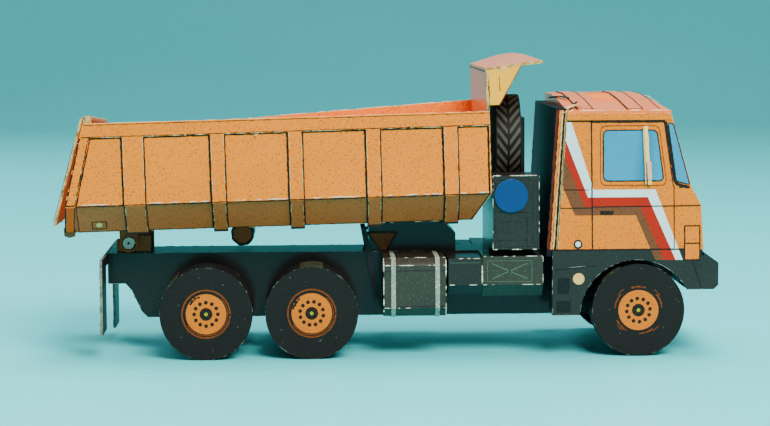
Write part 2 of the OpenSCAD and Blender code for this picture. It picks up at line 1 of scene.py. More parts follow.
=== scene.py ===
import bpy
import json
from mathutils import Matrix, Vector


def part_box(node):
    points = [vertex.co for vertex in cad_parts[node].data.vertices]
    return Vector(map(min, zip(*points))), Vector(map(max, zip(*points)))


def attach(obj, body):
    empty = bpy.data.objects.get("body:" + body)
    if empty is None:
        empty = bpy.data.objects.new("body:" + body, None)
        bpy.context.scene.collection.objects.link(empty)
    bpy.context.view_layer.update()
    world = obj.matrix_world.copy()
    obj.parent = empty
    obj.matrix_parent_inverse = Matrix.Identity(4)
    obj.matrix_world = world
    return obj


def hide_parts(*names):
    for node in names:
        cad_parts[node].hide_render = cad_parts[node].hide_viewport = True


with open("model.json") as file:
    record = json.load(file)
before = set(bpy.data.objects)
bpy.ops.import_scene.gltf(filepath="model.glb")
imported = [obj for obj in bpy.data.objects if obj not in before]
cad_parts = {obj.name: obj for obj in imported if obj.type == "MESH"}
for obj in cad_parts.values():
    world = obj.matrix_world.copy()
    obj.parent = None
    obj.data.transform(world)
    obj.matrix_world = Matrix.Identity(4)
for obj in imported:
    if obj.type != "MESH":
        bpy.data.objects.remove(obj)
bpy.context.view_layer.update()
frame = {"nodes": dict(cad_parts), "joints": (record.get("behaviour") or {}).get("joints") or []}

import json
import math

import bmesh
import bpy
import numpy as np
from mathutils import Euler, Matrix

# ---- Camera ----
# A long lens nearly square to the right-hand side and a little above the bed.
MM = 0.001
camera_place = (-9.796, -279.075, 39.084)
camera_turn, camera_tilt, camera_roll = -2.041, 4.858, -0.307
camera_data = bpy.data.cameras.new("camera")
camera_data.sensor_width = 36
camera_data.lens = 112.29
camera_data.clip_start = 0.01
camera = bpy.data.objects.new("camera", camera_data)
bpy.context.scene.collection.objects.link(camera)
camera.matrix_world = (Matrix.Translation([v * MM for v in camera_place])
                       @ Euler((0, 0, math.radians(camera_turn))).to_matrix().to_4x4()
                       @ Euler((math.radians(90 - camera_tilt), 0, 0)).to_matrix().to_4x4()
                       @ Euler((0, 0, math.radians(camera_roll))).to_matrix().to_4x4())
bpy.context.scene.camera = camera


# ---- Studio ----
# A pale sheet to stand on, one broad lamp from the front and above, a softer one from the far
# side, and a pale room all round.
INK_STRETCH, INK_PRESS = 1.6, 1.2


def srgb(red, green, blue):
    """Ink as the eye reads it, 0 to 255, turned into linear light. Its difference from grey is
    then stretched and its darks pressed, because soft light all round greys and lifts ink."""
    values = np.array([red, green, blue]) / 255
    linear = np.where(values <= 0.04045, values / 12.92, ((values + 0.055) / 1.055) ** 2.4)
    grey = linear @ (0.2126, 0.7152, 0.0722)
    strong = np.clip(grey + (linear - grey) * INK_STRETCH, 0.0005, 1) ** INK_PRESS
    return (*strong.tolist(), 1.0)


def add_node(tree, kind, settings=None, inputs=None):
    """Adds a node; each input is a value, or a socket to link from."""
    made = tree.nodes.new(kind)
    for key, value in (settings or {}).items():
        setattr(made, key, value)
    for key, value in (inputs or {}).items():
        if isinstance(value, bpy.types.NodeSocket):
            tree.links.new(value, made.inputs[key])
        else:
            made.inputs[key].default_value = value
    return made


def new_material(name):
    """An empty material with its output node: (material, node tree, output)."""
    material = bpy.data.materials.new(name)
    material.use_nodes = True
    material.node_tree.nodes.clear()
    return material, material.node_tree, material.node_tree.nodes.new("ShaderNodeOutputMaterial")


def noise(tree, place, scale, detail, roughness=0.5, distortion=0.0):
    """Noise over place, about 0.5."""
    return add_node(tree, "ShaderNodeTexNoise", inputs={
        "Vector": place, "Scale": scale, "Detail": detail, "Roughness": roughness,
        "Distortion": distortion}).outputs["Fac"]


def mix(tree, share, first, second):
    """Two colours mixed: share 0 gives the first, 1 the second."""
    return add_node(tree, "ShaderNodeMix", {"data_type": "RGBA"},
                    {0: share, 6: first, 7: second}).outputs[2]


def studio_sheet():
    """Pale matt paper with a slow drift of tone."""
    material, tree, output = new_material("studio_sheet")
    place = add_node(tree, "ShaderNodeTexCoord").outputs["Object"]
    tone = mix(tree, noise(tree, place, 9.0, 3.0), srgb(148, 218, 222), srgb(158, 224, 227))
    sheet = add_node(tree, "ShaderNodeBsdfPrincipled", inputs={"Base Color": tone, "Roughness": 0.42})
    tree.links.new(sheet.outputs[0], output.inputs["Surface"])
    return material


floor_half, wall_foot, sweep, wall_top = 6.0, 0.5, 0.4, 3.0
turns = np.linspace(0, math.pi / 2, 24)
# The sheet's profile: flat, then a quarter circle of radius sweep, then straight up.
sheet_y = np.concatenate([[-floor_half], wall_foot + sweep * np.sin(turns), [wall_foot + sweep]])
sheet_z = np.concatenate([[0], sweep * (1 - np.cos(turns)), [wall_top]])
sheet_points = np.array([(x, y, z) for y, z in zip(sheet_y, sheet_z) for x in (-floor_half, floor_half)])
floor_mesh = bpy.data.meshes.new("studio_floor")
floor_mesh.from_pydata(sheet_points.tolist(), [],
                       [(2 * i, 2 * i + 1, 2 * i + 3, 2 * i + 2) for i in range(len(sheet_y) - 1)])
floor_mesh.shade_smooth()
floor_mesh.materials.append(studio_sheet())
floor = bpy.data.objects.new("studio_floor", floor_mesh)
bpy.context.scene.collection.objects.link(floor)

world = bpy.data.worlds.new("studio_room")
bpy.context.scene.world = world
world.use_nodes = True
world.node_tree.nodes["Background"].inputs["Color"].default_value = srgb(206, 211, 212)
world.node_tree.nodes["Background"].inputs["Strength"].default_value = 0.5


def lamp(name, place, aim, size, watts, tint):
    """A square area lamp at place, turned to face aim; both in millimetres."""
    data = bpy.data.lights.new(name, "AREA")
    data.size, data.energy, data.color = size * MM, watts, tint
    obj = bpy.data.objects.new(name, data)
    bpy.context.scene.collection.objects.link(obj)
    obj.location = [v * MM for v in place]
    look = np.array(place, float) - np.array(aim, float)
    across = math.hypot(look[0], look[1])
    obj.rotation_euler = (math.atan2(across, look[2]), 0, math.atan2(look[0], -look[1]))
    return obj


lamp("front_lamp", (120, -330, 330), (0, 0, 12), 220, 4.2, (1.0, 0.96, 0.9))
lamp("top_lamp", (40, 60, 420), (0, 0, 10), 260, 2.2, (1.0, 0.98, 0.95))
lamp("far_lamp", (-260, 300, 240), (0, 0, 12), 240, 0.8, (0.92, 0.97, 1.0))


# ---- Chassis ----
# One folded box of black printed card runs from bumper to tail. Its folds have rubbed through
# to pale fibre, and it carries the crossmember and the two mud flaps, cut from the same sheet.
CREAM = srgb(224, 202, 174)
FIBRE = srgb(232, 228, 214)
BLACK = srgb(28, 26, 25)


def group_sockets(group, inputs, outputs):
    """Named sockets of a shader group, each (name, kind, value)."""
    for name, kind, value in inputs:
        socket = group.interface.new_socket(name, in_out="INPUT", socket_type="NodeSocket" + kind)
        if value is not None:
            socket.default_value = value
    for name, kind in outputs:
        group.interface.new_socket(name, in_out="OUTPUT", socket_type="NodeSocket" + kind)
    return group.nodes.new("NodeGroupInput"), group.nodes.new("NodeGroupOutput")


def maths(tree, operation, *values):
    """One step of arithmetic on sockets and numbers."""
    return add_node(tree, "ShaderNodeMath", {"operation": operation}, dict(enumerate(values))).outputs[0]


def remap(tree, value, low, high, to_low=0.0, to_high=1.0):
    """A value stretched from one range to another, and held inside it."""
    return add_node(tree, "ShaderNodeMapRange", inputs={
        "Value": value, "From Min": low, "From Max": high, "To Min": to_low, "To Max": to_high}).outputs[0]


def facing(tree, normal, direction):
    """How squarely a face looks along a direction: the cosine between them."""
    return add_node(tree, "ShaderNodeVectorMath", {"operation": "DOT_PRODUCT"},
                    {0: normal, 1: direction}).outputs["Value"]


def build_print_group():
    """Ink on card: dark specks on a cell pattern, fine grain, a slow drift of tone, and the
    fibres of the sheet as a height."""
    group = bpy.data.node_groups.new("printed_ink", "ShaderNodeTree")
    given, result = group_sockets(
        group,
        [("Ink", "Color", None), ("Speck", "Color", None), ("Amount", "Float", 0.3),
         ("Drift", "Float", 0.12)],
        [("Color", "Color"), ("Height", "Float"), ("Grain", "Float")])
    place = add_node(group, "ShaderNodeTexCoord").outputs["Object"]
    cells = add_node(group, "ShaderNodeTexVoronoi", inputs={"Vector": place, "Scale": 2300.0})
    grain = noise(group, place, 8200.0, 2.0, 0.7)
    speck = remap(group, cells.outputs["Distance"], 0.30, 0.16, to_high=0.75)
    both = maths(group, "MAXIMUM", speck, remap(group, grain, 0.54, 0.68))
    share = maths(group, "MULTIPLY", both, given.outputs["Amount"])
    inked = mix(group, share, given.outputs["Ink"], given.outputs["Speck"])
    swing = maths(group, "MULTIPLY_ADD", noise(group, place, 210.0, 4.0, 0.6), 2.0, -1.0)
    value = maths(group, "MULTIPLY_ADD", swing, given.outputs["Drift"], 1.0)
    toned = add_node(group, "ShaderNodeHueSaturation", inputs={"Color": inked, "Value": value})
    stretch = add_node(group, "ShaderNodeMapping", inputs={"Vector": place, "Scale": (1.0, 1.0, 0.35)})
    fibre = noise(group, stretch.outputs[0], 5200.0, 3.0, distortion=0.6)
    for socket, name in ((toned.outputs[0], "Color"), (fibre, "Height"), (grain, "Grain")):
        group.links.new(socket, result.inputs[name])
    return group


def build_edge_group():
    """Where a sheet of card was cut: the faces that don't face along Flat, with a soft ragged
    border, and a colour that wanders between clean and dirty core."""
    group = bpy.data.node_groups.new("cut_edge", "ShaderNodeTree")
    given, result = group_sockets(
        group, [("Flat", "Vector", (0, 1, 0)), ("Core", "Color", None), ("Dirt", "Color", None)],
        [("Mask", "Float"), ("Color", "Color")])
    coords = add_node(group, "ShaderNodeTexCoord")
    away = maths(group, "ABSOLUTE", facing(group, coords.outputs["Normal"], given.outputs["Flat"]))
    soil = remap(group, noise(group, coords.outputs["Object"], 1500.0, 3.0, 0.7), 0.42, 0.66)
    colour = mix(group, soil, given.outputs["Core"], given.outputs["Dirt"])
    group.links.new(remap(group, away, 0.72, 0.6), result.inputs["Mask"])
    group.links.new(colour, result.inputs["Color"])
    return group


print_group = build_print_group()
edge_group = build_edge_group()


def print_on(tree, ink, speck, amount, drift):
    """The printed ink of one sheet: its colour, height and grain sockets."""
    return add_node(tree, "ShaderNodeGroup", {"node_tree": print_group},
                    {"Ink": ink, "Speck": speck, "Amount": amount, "Drift": drift}).outputs


def relief(tree, height, strength):
    """The sheet's fibres as a bump."""
    return add_node(tree, "ShaderNodeBump", inputs={
        "Height": height, "Strength": strength, "Distance": 0.00002}).outputs[0]


def card(name, ink, speck=BLACK, amount=0.3, drift=0.12, flat=None, core=CREAM,
         dirt=srgb(120, 92, 58), inside=None, rough=0.5, coat=0.0, bump=0.35, shine=0.2):
    """Printed card. flat is the direction its two printed faces look along, and the rest shows
    cut core; inside is (direction, ink) for faces that look along direction: a second printed face,
    or painted light or shade on faces turned up or down."""
    material, tree, output = new_material(name)
    printed = print_on(tree, ink, speck, amount, drift)
    colour = printed["Color"]
    if inside:
        other = print_on(tree, inside[1], speck, amount, drift)
        normal = add_node(tree, "ShaderNodeTexCoord").outputs["Normal"]
        turned = maths(tree, "GREATER_THAN", facing(tree, normal, inside[0]), 0.5)
        colour = mix(tree, turned, colour, other["Color"])
    if flat:
        edge = add_node(tree, "ShaderNodeGroup", {"node_tree": edge_group},
                        {"Flat": flat, "Core": core, "Dirt": dirt})
        colour = mix(tree, edge.outputs["Mask"], colour, edge.outputs["Color"])
    surface = add_node(tree, "ShaderNodeBsdfPrincipled", inputs={
        "Base Color": colour, "Roughness": remap(tree, printed["Grain"], 0.0, 1.0, rough - 0.1, rough + 0.12),
        "Normal": relief(tree, printed["Height"], bump), "Specular IOR Level": shine, "Coat Weight": coat,
        "Coat Roughness": 0.12})
    tree.links.new(surface.outputs[0], output.inputs["Surface"])
    return material


def dress(material, *nodes):
    """Gives CAD nodes a finish."""
    for name in nodes:
        mesh = frame["nodes"][name].data
        mesh.materials.clear()
        mesh.materials.append(material)


def corners(node):
    """A CAD node's lowest and highest corner, in millimetres."""
    low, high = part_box(node)
    return np.array(low) / MM, np.array(high) / MM


def piece(name, parts, material, body):
    """Joins (points, faces) parts, in millimetres, into one piece that rides on a body."""
    points = np.concatenate([part[0] for part in parts]) * MM
    starts = np.cumsum([0] + [len(part[0]) for part in parts])
    faces = [tuple(int(i) + int(start) for i in face)
             for part, start in zip(parts, starts) for face in part[1]]
    mesh = bpy.data.meshes.new(name)
    mesh.from_pydata(points.tolist(), [], faces)
    shell = bmesh.new()
    shell.from_mesh(mesh)
    bmesh.ops.recalc_face_normals(shell, faces=shell.faces)
    shell.to_mesh(mesh)
    shell.free()
    mesh.materials.append(material)
    obj = bpy.data.objects.new(name, mesh)
    bpy.context.scene.collection.objects.link(obj)
    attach(obj, body)
    return obj


def rows_to_faces(rows, sides, capped=True):
    """Quads of a tube stored as rows rings of sides points each, with its two end caps."""
    ring, turn = np.meshgrid(np.arange(rows - 1), np.arange(sides), indexing="ij")
    here, there = ring * sides, (ring + 1) * sides
    after = (turn + 1) % sides
    quads = np.stack([here + turn, here + after, there + after, there + turn], -1).reshape(-1, 4)
    faces = [tuple(quad) for quad in quads.tolist()]
    if capped:
        faces += [tuple(range(sides)), tuple(range((rows - 1) * sides, rows * sides))]
    return faces


def walk(path, step):
    """Points at an even step along a polyline, with its own corners kept."""
    path = np.array(path, float)
    reach = np.concatenate([[0], np.cumsum(np.linalg.norm(np.diff(path, axis=0), axis=1))])
    at = np.linspace(0, reach[-1], max(2, int(reach[-1] / step) + 1))
    at = np.unique(np.round(np.concatenate([at, reach]), 5))
    return np.stack([np.interp(at, reach, path[:, k]) for k in range(path.shape[1])], 1)


def wander(count, reach, seed):
    """Smooth random values from -1 to 1: noise averaged over reach points."""
    raw = np.random.default_rng(seed).normal(size=count + 2 * reach)
    kernel = np.hanning(2 * reach + 1)
    smooth = np.convolve(raw, kernel / kernel.sum(), "same")[reach:reach + count]
    return np.clip(smooth / (smooth.std() + 1e-9) / 2.2, -1, 1)


def fray(path, radius, cover=0.6, seed=0, reach=4, sides=5, step=0.13):
    """Fibres torn up along a cut or a fold: where a smooth noise is high, a thin tube follows
    the edge; its radius is the root of a half sine along each run, roughened by more noise."""
    points = walk(path, step)
    level = wander(len(points), reach, seed)
    rough = 0.75 + 0.45 * wander(len(points), 1, seed + 1)
    on = level > np.quantile(level, 1 - cover)
    bounds = np.flatnonzero(np.diff(np.concatenate([[0], on.astype(int), [0]])))
    turn = np.arange(sides) * 2 * math.pi / sides
    parts = []
    for first, last in bounds.reshape(-1, 2):
        run = points[first:last]
        if len(run) < 3:
            continue
        along = np.gradient(run, axis=0)
        along /= np.linalg.norm(along, axis=1, keepdims=True)
        lead = np.where(np.abs(along[:, 2:3]) < 0.8, [[0.0, 0.0, 1.0]], [[1.0, 0.0, 0.0]])
        side = np.cross(along, lead)
        side /= np.linalg.norm(side, axis=1, keepdims=True)
        up = np.cross(side, along)
        swell = np.sqrt(np.sin(np.linspace(0.06, math.pi - 0.06, len(run)))) * rough[first:last]
        ring = (side[:, None] * np.cos(turn)[None, :, None] + up[:, None] * np.sin(turn)[None, :, None])
        tube = run[:, None] + ring * (radius * swell)[:, None, None]
        parts.append((tube.reshape(-1, 3), rows_to_faces(len(run), sides)))
    return parts


def face(origin, across, up, out):
    """A printed face: turns points on it, and a height above it, into millimetres in space."""
    origin, across, up, out = (np.array(v, float) for v in (origin, across, up, out))

    def place(points, height):
        points = np.asarray(points, float)
        return origin + points[:, :1] * across + points[:, 1:2] * up + height * out
    return place


def side_face(side, y):
    """The flat side of a box at y, seen square on: points on it are (x, z)."""
    return face((0, y, 0), (1, 0, 0), (0, 0, 1), (0, side, 0))


def torn(place, path, height, radius, **how):
    """Fibres torn up along a path on a printed face."""
    return fray(place(path, height), radius, **how)


def rule(path, width, place, lift=0.02, depth=0.04, ragged=0.25, seed=0, step=0.16):
    """A printed line or a strip of card: a rectangle carried along a path on a face, its two
    edges wandering a little."""
    points = walk(path, step)
    along = np.gradient(points, axis=0)
    along /= np.linalg.norm(along, axis=1, keepdims=True)
    side = np.stack([-along[:, 1], along[:, 0]], 1)
    left = points + side * (width / 2 * (1 + ragged * wander(len(points), 2, seed)))[:, None]
    right = points - side * (width / 2 * (1 + ragged * wander(len(points), 2, seed + 7)))[:, None]
    rows = [place(left, lift), place(right, lift), place(right, lift - depth), place(left, lift - depth)]
    return np.stack(rows, 1).reshape(-1, 3), rows_to_faces(len(points), 4)


def rect(left, foot, right, head):
    """The four corners of a rectangle, from its lower left."""
    return [(left, foot), (right, foot), (right, head), (left, head)]


def closed(outline):
    """The outline with its first point again at the end."""
    return np.concatenate([np.asarray(outline, float), np.asarray(outline, float)[:1]])


def patch(outline, place, lift=0.02, depth=0.04):
    """A flat piece cut to an outline: its top, its foot and its edge."""
    count = len(outline)
    points = np.concatenate([place(outline, lift), place(outline, lift - depth)])
    here = np.arange(count)
    after = (here + 1) % count
    sides = np.stack([here, after, after + count, here + count], 1)
    faces = [tuple(range(count)), tuple(range(count, 2 * count))] + [tuple(f) for f in sides.tolist()]
    return points, faces


def circle(centre, radius, count=48, start=0.0, sweep=2 * math.pi):
    """Points round a circle, or along an arc of it."""
    turn = start + np.linspace(0, sweep, count, endpoint=sweep < 2 * math.pi)
    return np.stack([centre[0] + radius * np.cos(turn), centre[1] + radius * np.sin(turn)], 1)


chassis_low, chassis_high = corners("chassis_box")
black_print = card("black_print", BLACK, speck=srgb(62, 68, 70), amount=0.35, drift=0.3,
                   rough=0.42, coat=0.25, bump=0.5)
black_sheet = card("black_sheet", srgb(33, 34, 33), speck=srgb(80, 82, 80), amount=0.4, drift=0.3,
                   flat=(1, 0, 0), core=srgb(150, 148, 140), dirt=srgb(60, 60, 58), rough=0.5)
frayed_fibre = card("frayed_fibre", FIBRE, speck=srgb(150, 140, 120), amount=0.6, drift=0.3,
                    rough=0.85, bump=0.9)
grey_fibre = card("grey_fibre", srgb(150, 152, 146), speck=srgb(80, 80, 76), amount=0.6, drift=0.35,
                  rough=0.85, bump=0.9)
dress(black_print, "chassis_box", "hoist_box")
dress(black_sheet, "tail_crossmember", "mud_flap_right", "mud_flap_left")
tail_x = chassis_low[0]
tail_step = chassis_high[2] - 3.5
side_y = chassis_high[1]
chassis_frays = []
for s in (-1, 1):
    for path, radius, cover, seed in (
            ([(tail_x + 4.5, chassis_low[2]), (chassis_high[0] - 1, chassis_low[2])], 0.05, 0.3, 20),
            ([(tail_x, tail_step), (tail_x + 2, tail_step), (tail_x + 3.2, tail_step - 1.9),
              (tail_x + 4.4, chassis_low[2])], 0.05, 0.4, 24),
            ([(tail_x, chassis_high[2]), (chassis_high[0] - 14, chassis_high[2])], 0.045, 0.3, 28)):
        chassis_frays += torn(side_face(s, s * side_y), path, 0, radius, cover=cover, seed=seed + s)
piece("chassis_rubbed_folds", chassis_frays, grey_fibre, "chassis")
flap_frays = []
for name, seed in (("mud_flap_right", 31), ("mud_flap_left", 35)):
    low, high = corners(name)
    for y in (low[1], high[1]):
        flap_frays += fray([(low[0], y, high[2]), (low[0], y, low[2])], 0.05, cover=0.45, seed=seed)
    flap_frays += fray([(low[0], low[1], low[2]), (low[0], high[1], low[2])], 0.06, cover=0.5, seed=seed + 1)
piece("mud_flap_cut_edges", flap_frays, grey_fibre, "chassis")


# ---- Tipping hinge ----
# Brown brackets of laminated card stand on the chassis and hold the pin, a strip of plain paper
# rolled tight, whose end shows the turns. The bed's own lugs swing on it.
brown_layers = card("brown_layers", srgb(140, 92, 70), speck=srgb(34, 26, 22), amount=0.6, drift=0.5,
                    flat=(0, 1, 0), core=srgb(60, 46, 36), dirt=srgb(22, 20, 18), rough=0.55)
dress(brown_layers, "pivot_brackets", "hoist_brackets", "bed_lugs")
rolled_paper = card("rolled_paper", srgb(206, 200, 192), speck=srgb(120, 120, 116), amount=0.5,
                    drift=0.25, rough=0.7, bump=0.6)
pin_low, pin_high = corners("tipping_pin")
pin_centre = (pin_low + pin_high) / 2
pin_r = (pin_high[2] - pin_low[2]) / 2


def paper_roll(centre, radius, half_length, turns, sheet):
    """A spiral strip: radius shrinks evenly with the angle, and the strip is sheet thick. The
    profile is the closed outline of the spiral, carried straight along y."""
    turn = np.linspace(0, turns * 2 * math.pi, int(turns * 40))
    outer = radius - (radius - sheet * 1.4) * turn / turn[-1]
    inner = outer - sheet * 0.72
    ring = np.concatenate([np.stack([outer * np.cos(turn), outer * np.sin(turn)], 1),
                           np.stack([inner * np.cos(turn), inner * np.sin(turn)], 1)[::-1]])
    ends = [np.stack([centre[0] + ring[:, 0], np.full(len(ring), centre[1] + s * half_length),
                      centre[2] + ring[:, 1]], 1) for s in (-1, 1)]
    count, half = len(ring), len(turn)
    here = np.arange(count)
    after = (here + 1) % count
    faces = np.stack([here, after, after + count, here + count], 1).tolist()
    strip = np.arange(half - 1)
    for base in (0, count):
        faces += np.stack([base + strip, base + strip + 1, base + count - 2 - strip,
                           base + count - 1 - strip], 1).tolist()
    return np.concatenate(ends), [tuple(f) for f in faces]


pin = piece("tipping_pin_roll",
            [paper_roll(pin_centre, pin_r, (pin_high[1] - pin_low[1]) / 2, 4.2, 0.14)],
            rolled_paper, "chassis")
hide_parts("tipping_pin")
bracket_low, bracket_high = corners("pivot_brackets")
hinge_marks = []
for s in (-1, 1):
    place = side_face(s, s * bracket_high[1])
    ring = circle((pin_centre[0], pin_centre[2]), pin_r + 0.22, 40, 0.1, 6.1)
    hinge_marks.append(rule(ring, 0.13, place, ragged=0.5, seed=41 + s))
    foot = bracket_low[2] + 0.12
    hinge_marks.append(rule([(bracket_low[0] + 0.1, foot), (bracket_high[0] - 0.1, foot)], 0.16, place,
                            ragged=0.5, seed=43 + s))
line_black = card("line_black", srgb(24, 22, 22), speck=srgb(110, 84, 50), amount=0.35, drift=0.3,
                  rough=0.5)
piece("bracket_lines", hinge_marks, line_black, "chassis")


# ---- Hoist and rams ----
# The hoist housing is a glossy black box under the bed with a printed brown triangle each side;
# each ram is a narrow black strip glued on edge between the chassis and the bed.
ram_print = card("ram_print", srgb(52, 54, 58), speck=srgb(20, 20, 22), amount=0.5, drift=0.3,
                 flat=(0, 1, 0), core=srgb(130, 128, 122), dirt=srgb(60, 58, 54), rough=0.5)
dress(ram_print, "ram_right", "ram_left")
hoist_low, hoist_high = corners("hoist_brackets")
hoist_marks = []
for s in (-1, 1):
    place = side_face(s, s * hoist_high[1])
    left, right, foot, head = hoist_low[0], hoist_high[0], hoist_low[2], hoist_high[2]
    outline = closed([(left + 0.15, head - 0.1), (left + 1.7, foot + 0.1), (right - 1.4, foot + 0.1),
                      (right - 0.15, head - 0.1)])
    hoist_marks.append(rule(outline, 0.16, place, ragged=0.4, seed=51 + s))
piece("hoist_bracket_lines", hoist_marks, line_black, "chassis")


# ---- Tanks and boxes along the chassis ----
# Folded boxes of dark printed card with the ink rubbed off their corners. A pale strip goes
# round each tank twice, and the battery box has a printed frame with a cross.
green_print = card("green_print", srgb(56, 54, 48), speck=srgb(92, 92, 82), amount=0.62, drift=0.35,
                   rough=0.42, coat=0.3, bump=0.6)
dark_green_print = card("dark_green_print", srgb(40, 39, 36), speck=srgb(72, 73, 68), amount=0.5,
                        drift=0.35, rough=0.45, coat=0.25, bump=0.6)
strap_print = card("strap_print", srgb(140, 146, 140), speck=srgb(236, 236, 226), amount=0.75,
                   drift=0.4, rough=0.7, bump=0.9)
dress(green_print, "fuel_tank_right", "fuel_tank_left", "battery_box_right", "battery_box_left")
dress(dark_green_print, "small_box_right", "small_box_left")
dress(strap_print, "tank_straps_right", "tank_straps_left")
pale_line = card("pale_line", srgb(92, 104, 92), speck=srgb(46, 56, 52), amount=0.5, drift=0.3, rough=0.5)
box_lines, box_frays, box_blacks, red_specks = [], [], [], []
for side, s in (("right", -1), ("left", 1)):
    low, high = corners("fuel_tank_" + side)
    out_y = s * max(abs(low[1]), abs(high[1]))
    in_y = out_y - s * 0.8
    bevel_z = high[2] - 0.8
    low_z = low[2] + 1
    for x in (low[0], high[0]):
        box_frays += fray([(x, in_y, high[2]), (x, out_y, bevel_z), (x, out_y, low_z), (x, in_y, low[2])],
                          0.085, cover=0.75, seed=61 + s + int(x))
    for y, z, radius, cover, seed in ((out_y, bevel_z, 0.07, 0.6, 64), (in_y, high[2], 0.05, 0.5, 66),
                                      (out_y, low_z, 0.04, 0.35, 68)):
        box_frays += fray([(low[0], y, z), (high[0], y, z)], radius, cover=cover, seed=seed + s)
    place = side_face(s, out_y)
    for z in (low_z + 0.15, bevel_z - 0.6):
        box_blacks.append(rule([(low[0] + 0.1, z), (high[0] - 0.1, z)], 0.07, place, ragged=0.6, seed=70 + s))

    low, high = corners("small_box_" + side)
    out_y = s * max(abs(low[1]), abs(high[1]))
    place = side_face(s, out_y)
    knee = low[2] + 1.1
    for path, radius, cover, seed in (
            ([(high[0], high[2]), (high[0], knee)], 0.11, 0.8, 72),
            ([(low[0], high[2] - 0.02), (high[0], high[2] - 0.02)], 0.05, 0.55, 74),
            ([(low[0] + 0.1, knee), (high[0] - 0.3, knee)], 0.06, 0.6, 76)):
        box_frays += torn(place, path, 0, radius, cover=cover, seed=seed + s)
    box_lines.append(rule([(low[0] + 0.2, high[2] - 0.5), (high[0] - 0.3, high[2] - 0.5)], 0.07, place,
                          ragged=0.5, seed=78 + s))
    top = face((0, 0, high[2]), (1, 0, 0), (0, 1, 0), (0, 0, 1))
    for k in range(7):
        spot = (low[0] + 1.1 + 0.28 * k, out_y - s * (0.3 + 0.12 * (k % 3)))
        red_specks.append(patch(circle(spot, 0.06 + 0.025 * (k % 2), 10), top))

    low, high = corners("battery_box_" + side)
    out_y = s * max(abs(low[1]), abs(high[1]))
    place = side_face(s, out_y)
    knee = low[2] + 1.4
    left, right, foot, head = low[0] + 0.55, high[0] - 1.25, knee + 0.35, high[2] - 0.5
    box_lines.append(rule(closed(rect(left, foot, right, head)), 0.07, place, ragged=0.5, seed=80 + s))
    for start, end, seed in ((foot + 0.3, head - 0.3, 82), (head - 0.3, foot + 0.3, 84)):
        box_lines.append(rule([(left + 0.5, start), (right - 0.5, end)], 0.13, place, ragged=0.4,
                              seed=seed + s))
    for path, cover, seed in (([(low[0], high[2]), (high[0], high[2])], 0.55, 86),
                              ([(low[0], knee), (high[0], knee)], 0.5, 88),
                              ([(high[0], high[2]), (high[0], knee)], 0.6, 90)):
        box_frays += torn(place, path, 0, 0.05, cover=cover, seed=seed + s)
piece("box_rubbed_edges", box_frays, frayed_fibre, "chassis")
piece("box_pale_lines", box_lines, pale_line, "chassis")
piece("tank_black_lines", box_blacks, line_black, "chassis")
red_print = card("red_print", srgb(158, 68, 50), speck=srgb(100, 40, 30), amount=0.4, rough=0.5)
piece("small_box_red_specks", red_specks, red_print, "chassis")


# ---- Air filter, deck and spare wheel ----
# Behind the cab stands a printed filter box with a blue disc glued on, and a glossy black deck
# that carries the spare, a card drum with a chevron tread printed on its strip.
filter_low, filter_high = corners("filter_box")
dress(dark_green_print, "filter_box")
dress(black_print, "spare_deck", "spare_carrier")
# The disc's cut edges are light blue: worn card together with a painted glint along its top edge.
blue_print_and_glint = card("blue_print_and_glint", srgb(24, 68, 108), speck=srgb(18, 50, 84), amount=0.5, drift=0.2,
                  flat=(0, 1, 0), core=srgb(150, 190, 215), dirt=srgb(40, 80, 120), rough=0.45, coat=0.2)
dress(blue_print_and_glint, "filter_lid")
tyre_print = card("tyre_print", srgb(28, 27, 26), speck=srgb(56, 56, 53), amount=0.45, drift=0.25,
                  rough=0.6, bump=0.5)
dress(tyre_print, "spare_wheel")
place = side_face(-1, filter_low[1])
left, right, foot, head = filter_low[0] + 0.3, filter_high[0] - 0.25, filter_low[2] + 0.3, filter_low[2] + 4.2
panel_paths = [(closed(rect(left, foot, right, head + 3.6)), 0.06),
               ([(left, head), (right - 1.1, head), (right - 1.1, foot)], 0.07),
               ([(left, head - 1.1), (right - 1.1, head - 1.1)], 0.05),
               ([(left, foot + 0.7), (right - 1.1, foot + 0.7)], 0.05),
               ([(right - 0.5, foot + 0.3), (right - 0.5, head + 3.2)], 0.05)]
panel_lines = [rule(path, width, place, ragged=0.6, seed=seed)
               for seed, (path, width) in enumerate(panel_paths, 101)]
piece("filter_panel_lines", panel_lines, line_black, "chassis")
filter_frays = []
for x in (filter_low[0], filter_high[0]):
    filter_frays += torn(place, [(x, filter_low[2]), (x, filter_high[2])], 0, 0.05, cover=0.5,
                         seed=110 + int(x))
for z, radius, cover, seed in ((filter_high[2], 0.07, 0.85, 112), (filter_low[2], 0.06, 0.5, 113)):
    filter_frays += torn(place, [(filter_low[0], z), (filter_high[0], z)], 0, radius, cover=cover, seed=seed)
piece("filter_rubbed_edges", filter_frays, frayed_fibre, "chassis")
spare_low, spare_high = corners("spare_wheel")
spare_middle = (spare_low + spare_high) / 2
spare_r = (spare_high[2] - spare_low[2]) / 2


def chevrons(low_x, high_x, axis_z, radius, count, lift=0.03):
    """Tread blocks: each is a grid over the tyre's width and its own thickness; the angle runs
    back with the distance from the centre line, which makes the arrow."""
    middle = (low_x + high_x) / 2
    parts = []
    across = np.linspace(0.1, 1.0, 5)
    for number in range(count):
        for s in (-1, 1):
            x = middle + s * across * (high_x - low_x) * 0.46
            angle = number * 2 * math.pi / count + 0.62 * across * (high_x - low_x) / 2 / radius * 2
            thick = 0.46 * 2 * math.pi / count
            rows = []
            for turn, r in ((0, radius + lift), (thick, radius + lift), (thick, radius - lift),
                            (0, radius - lift)):
                rows.append(np.stack([x, r * np.sin(angle + turn), axis_z + r * np.cos(angle + turn)], 1))
            parts.append((np.stack(rows, 1).reshape(-1, 3), rows_to_faces(len(x), 4)))
    return parts


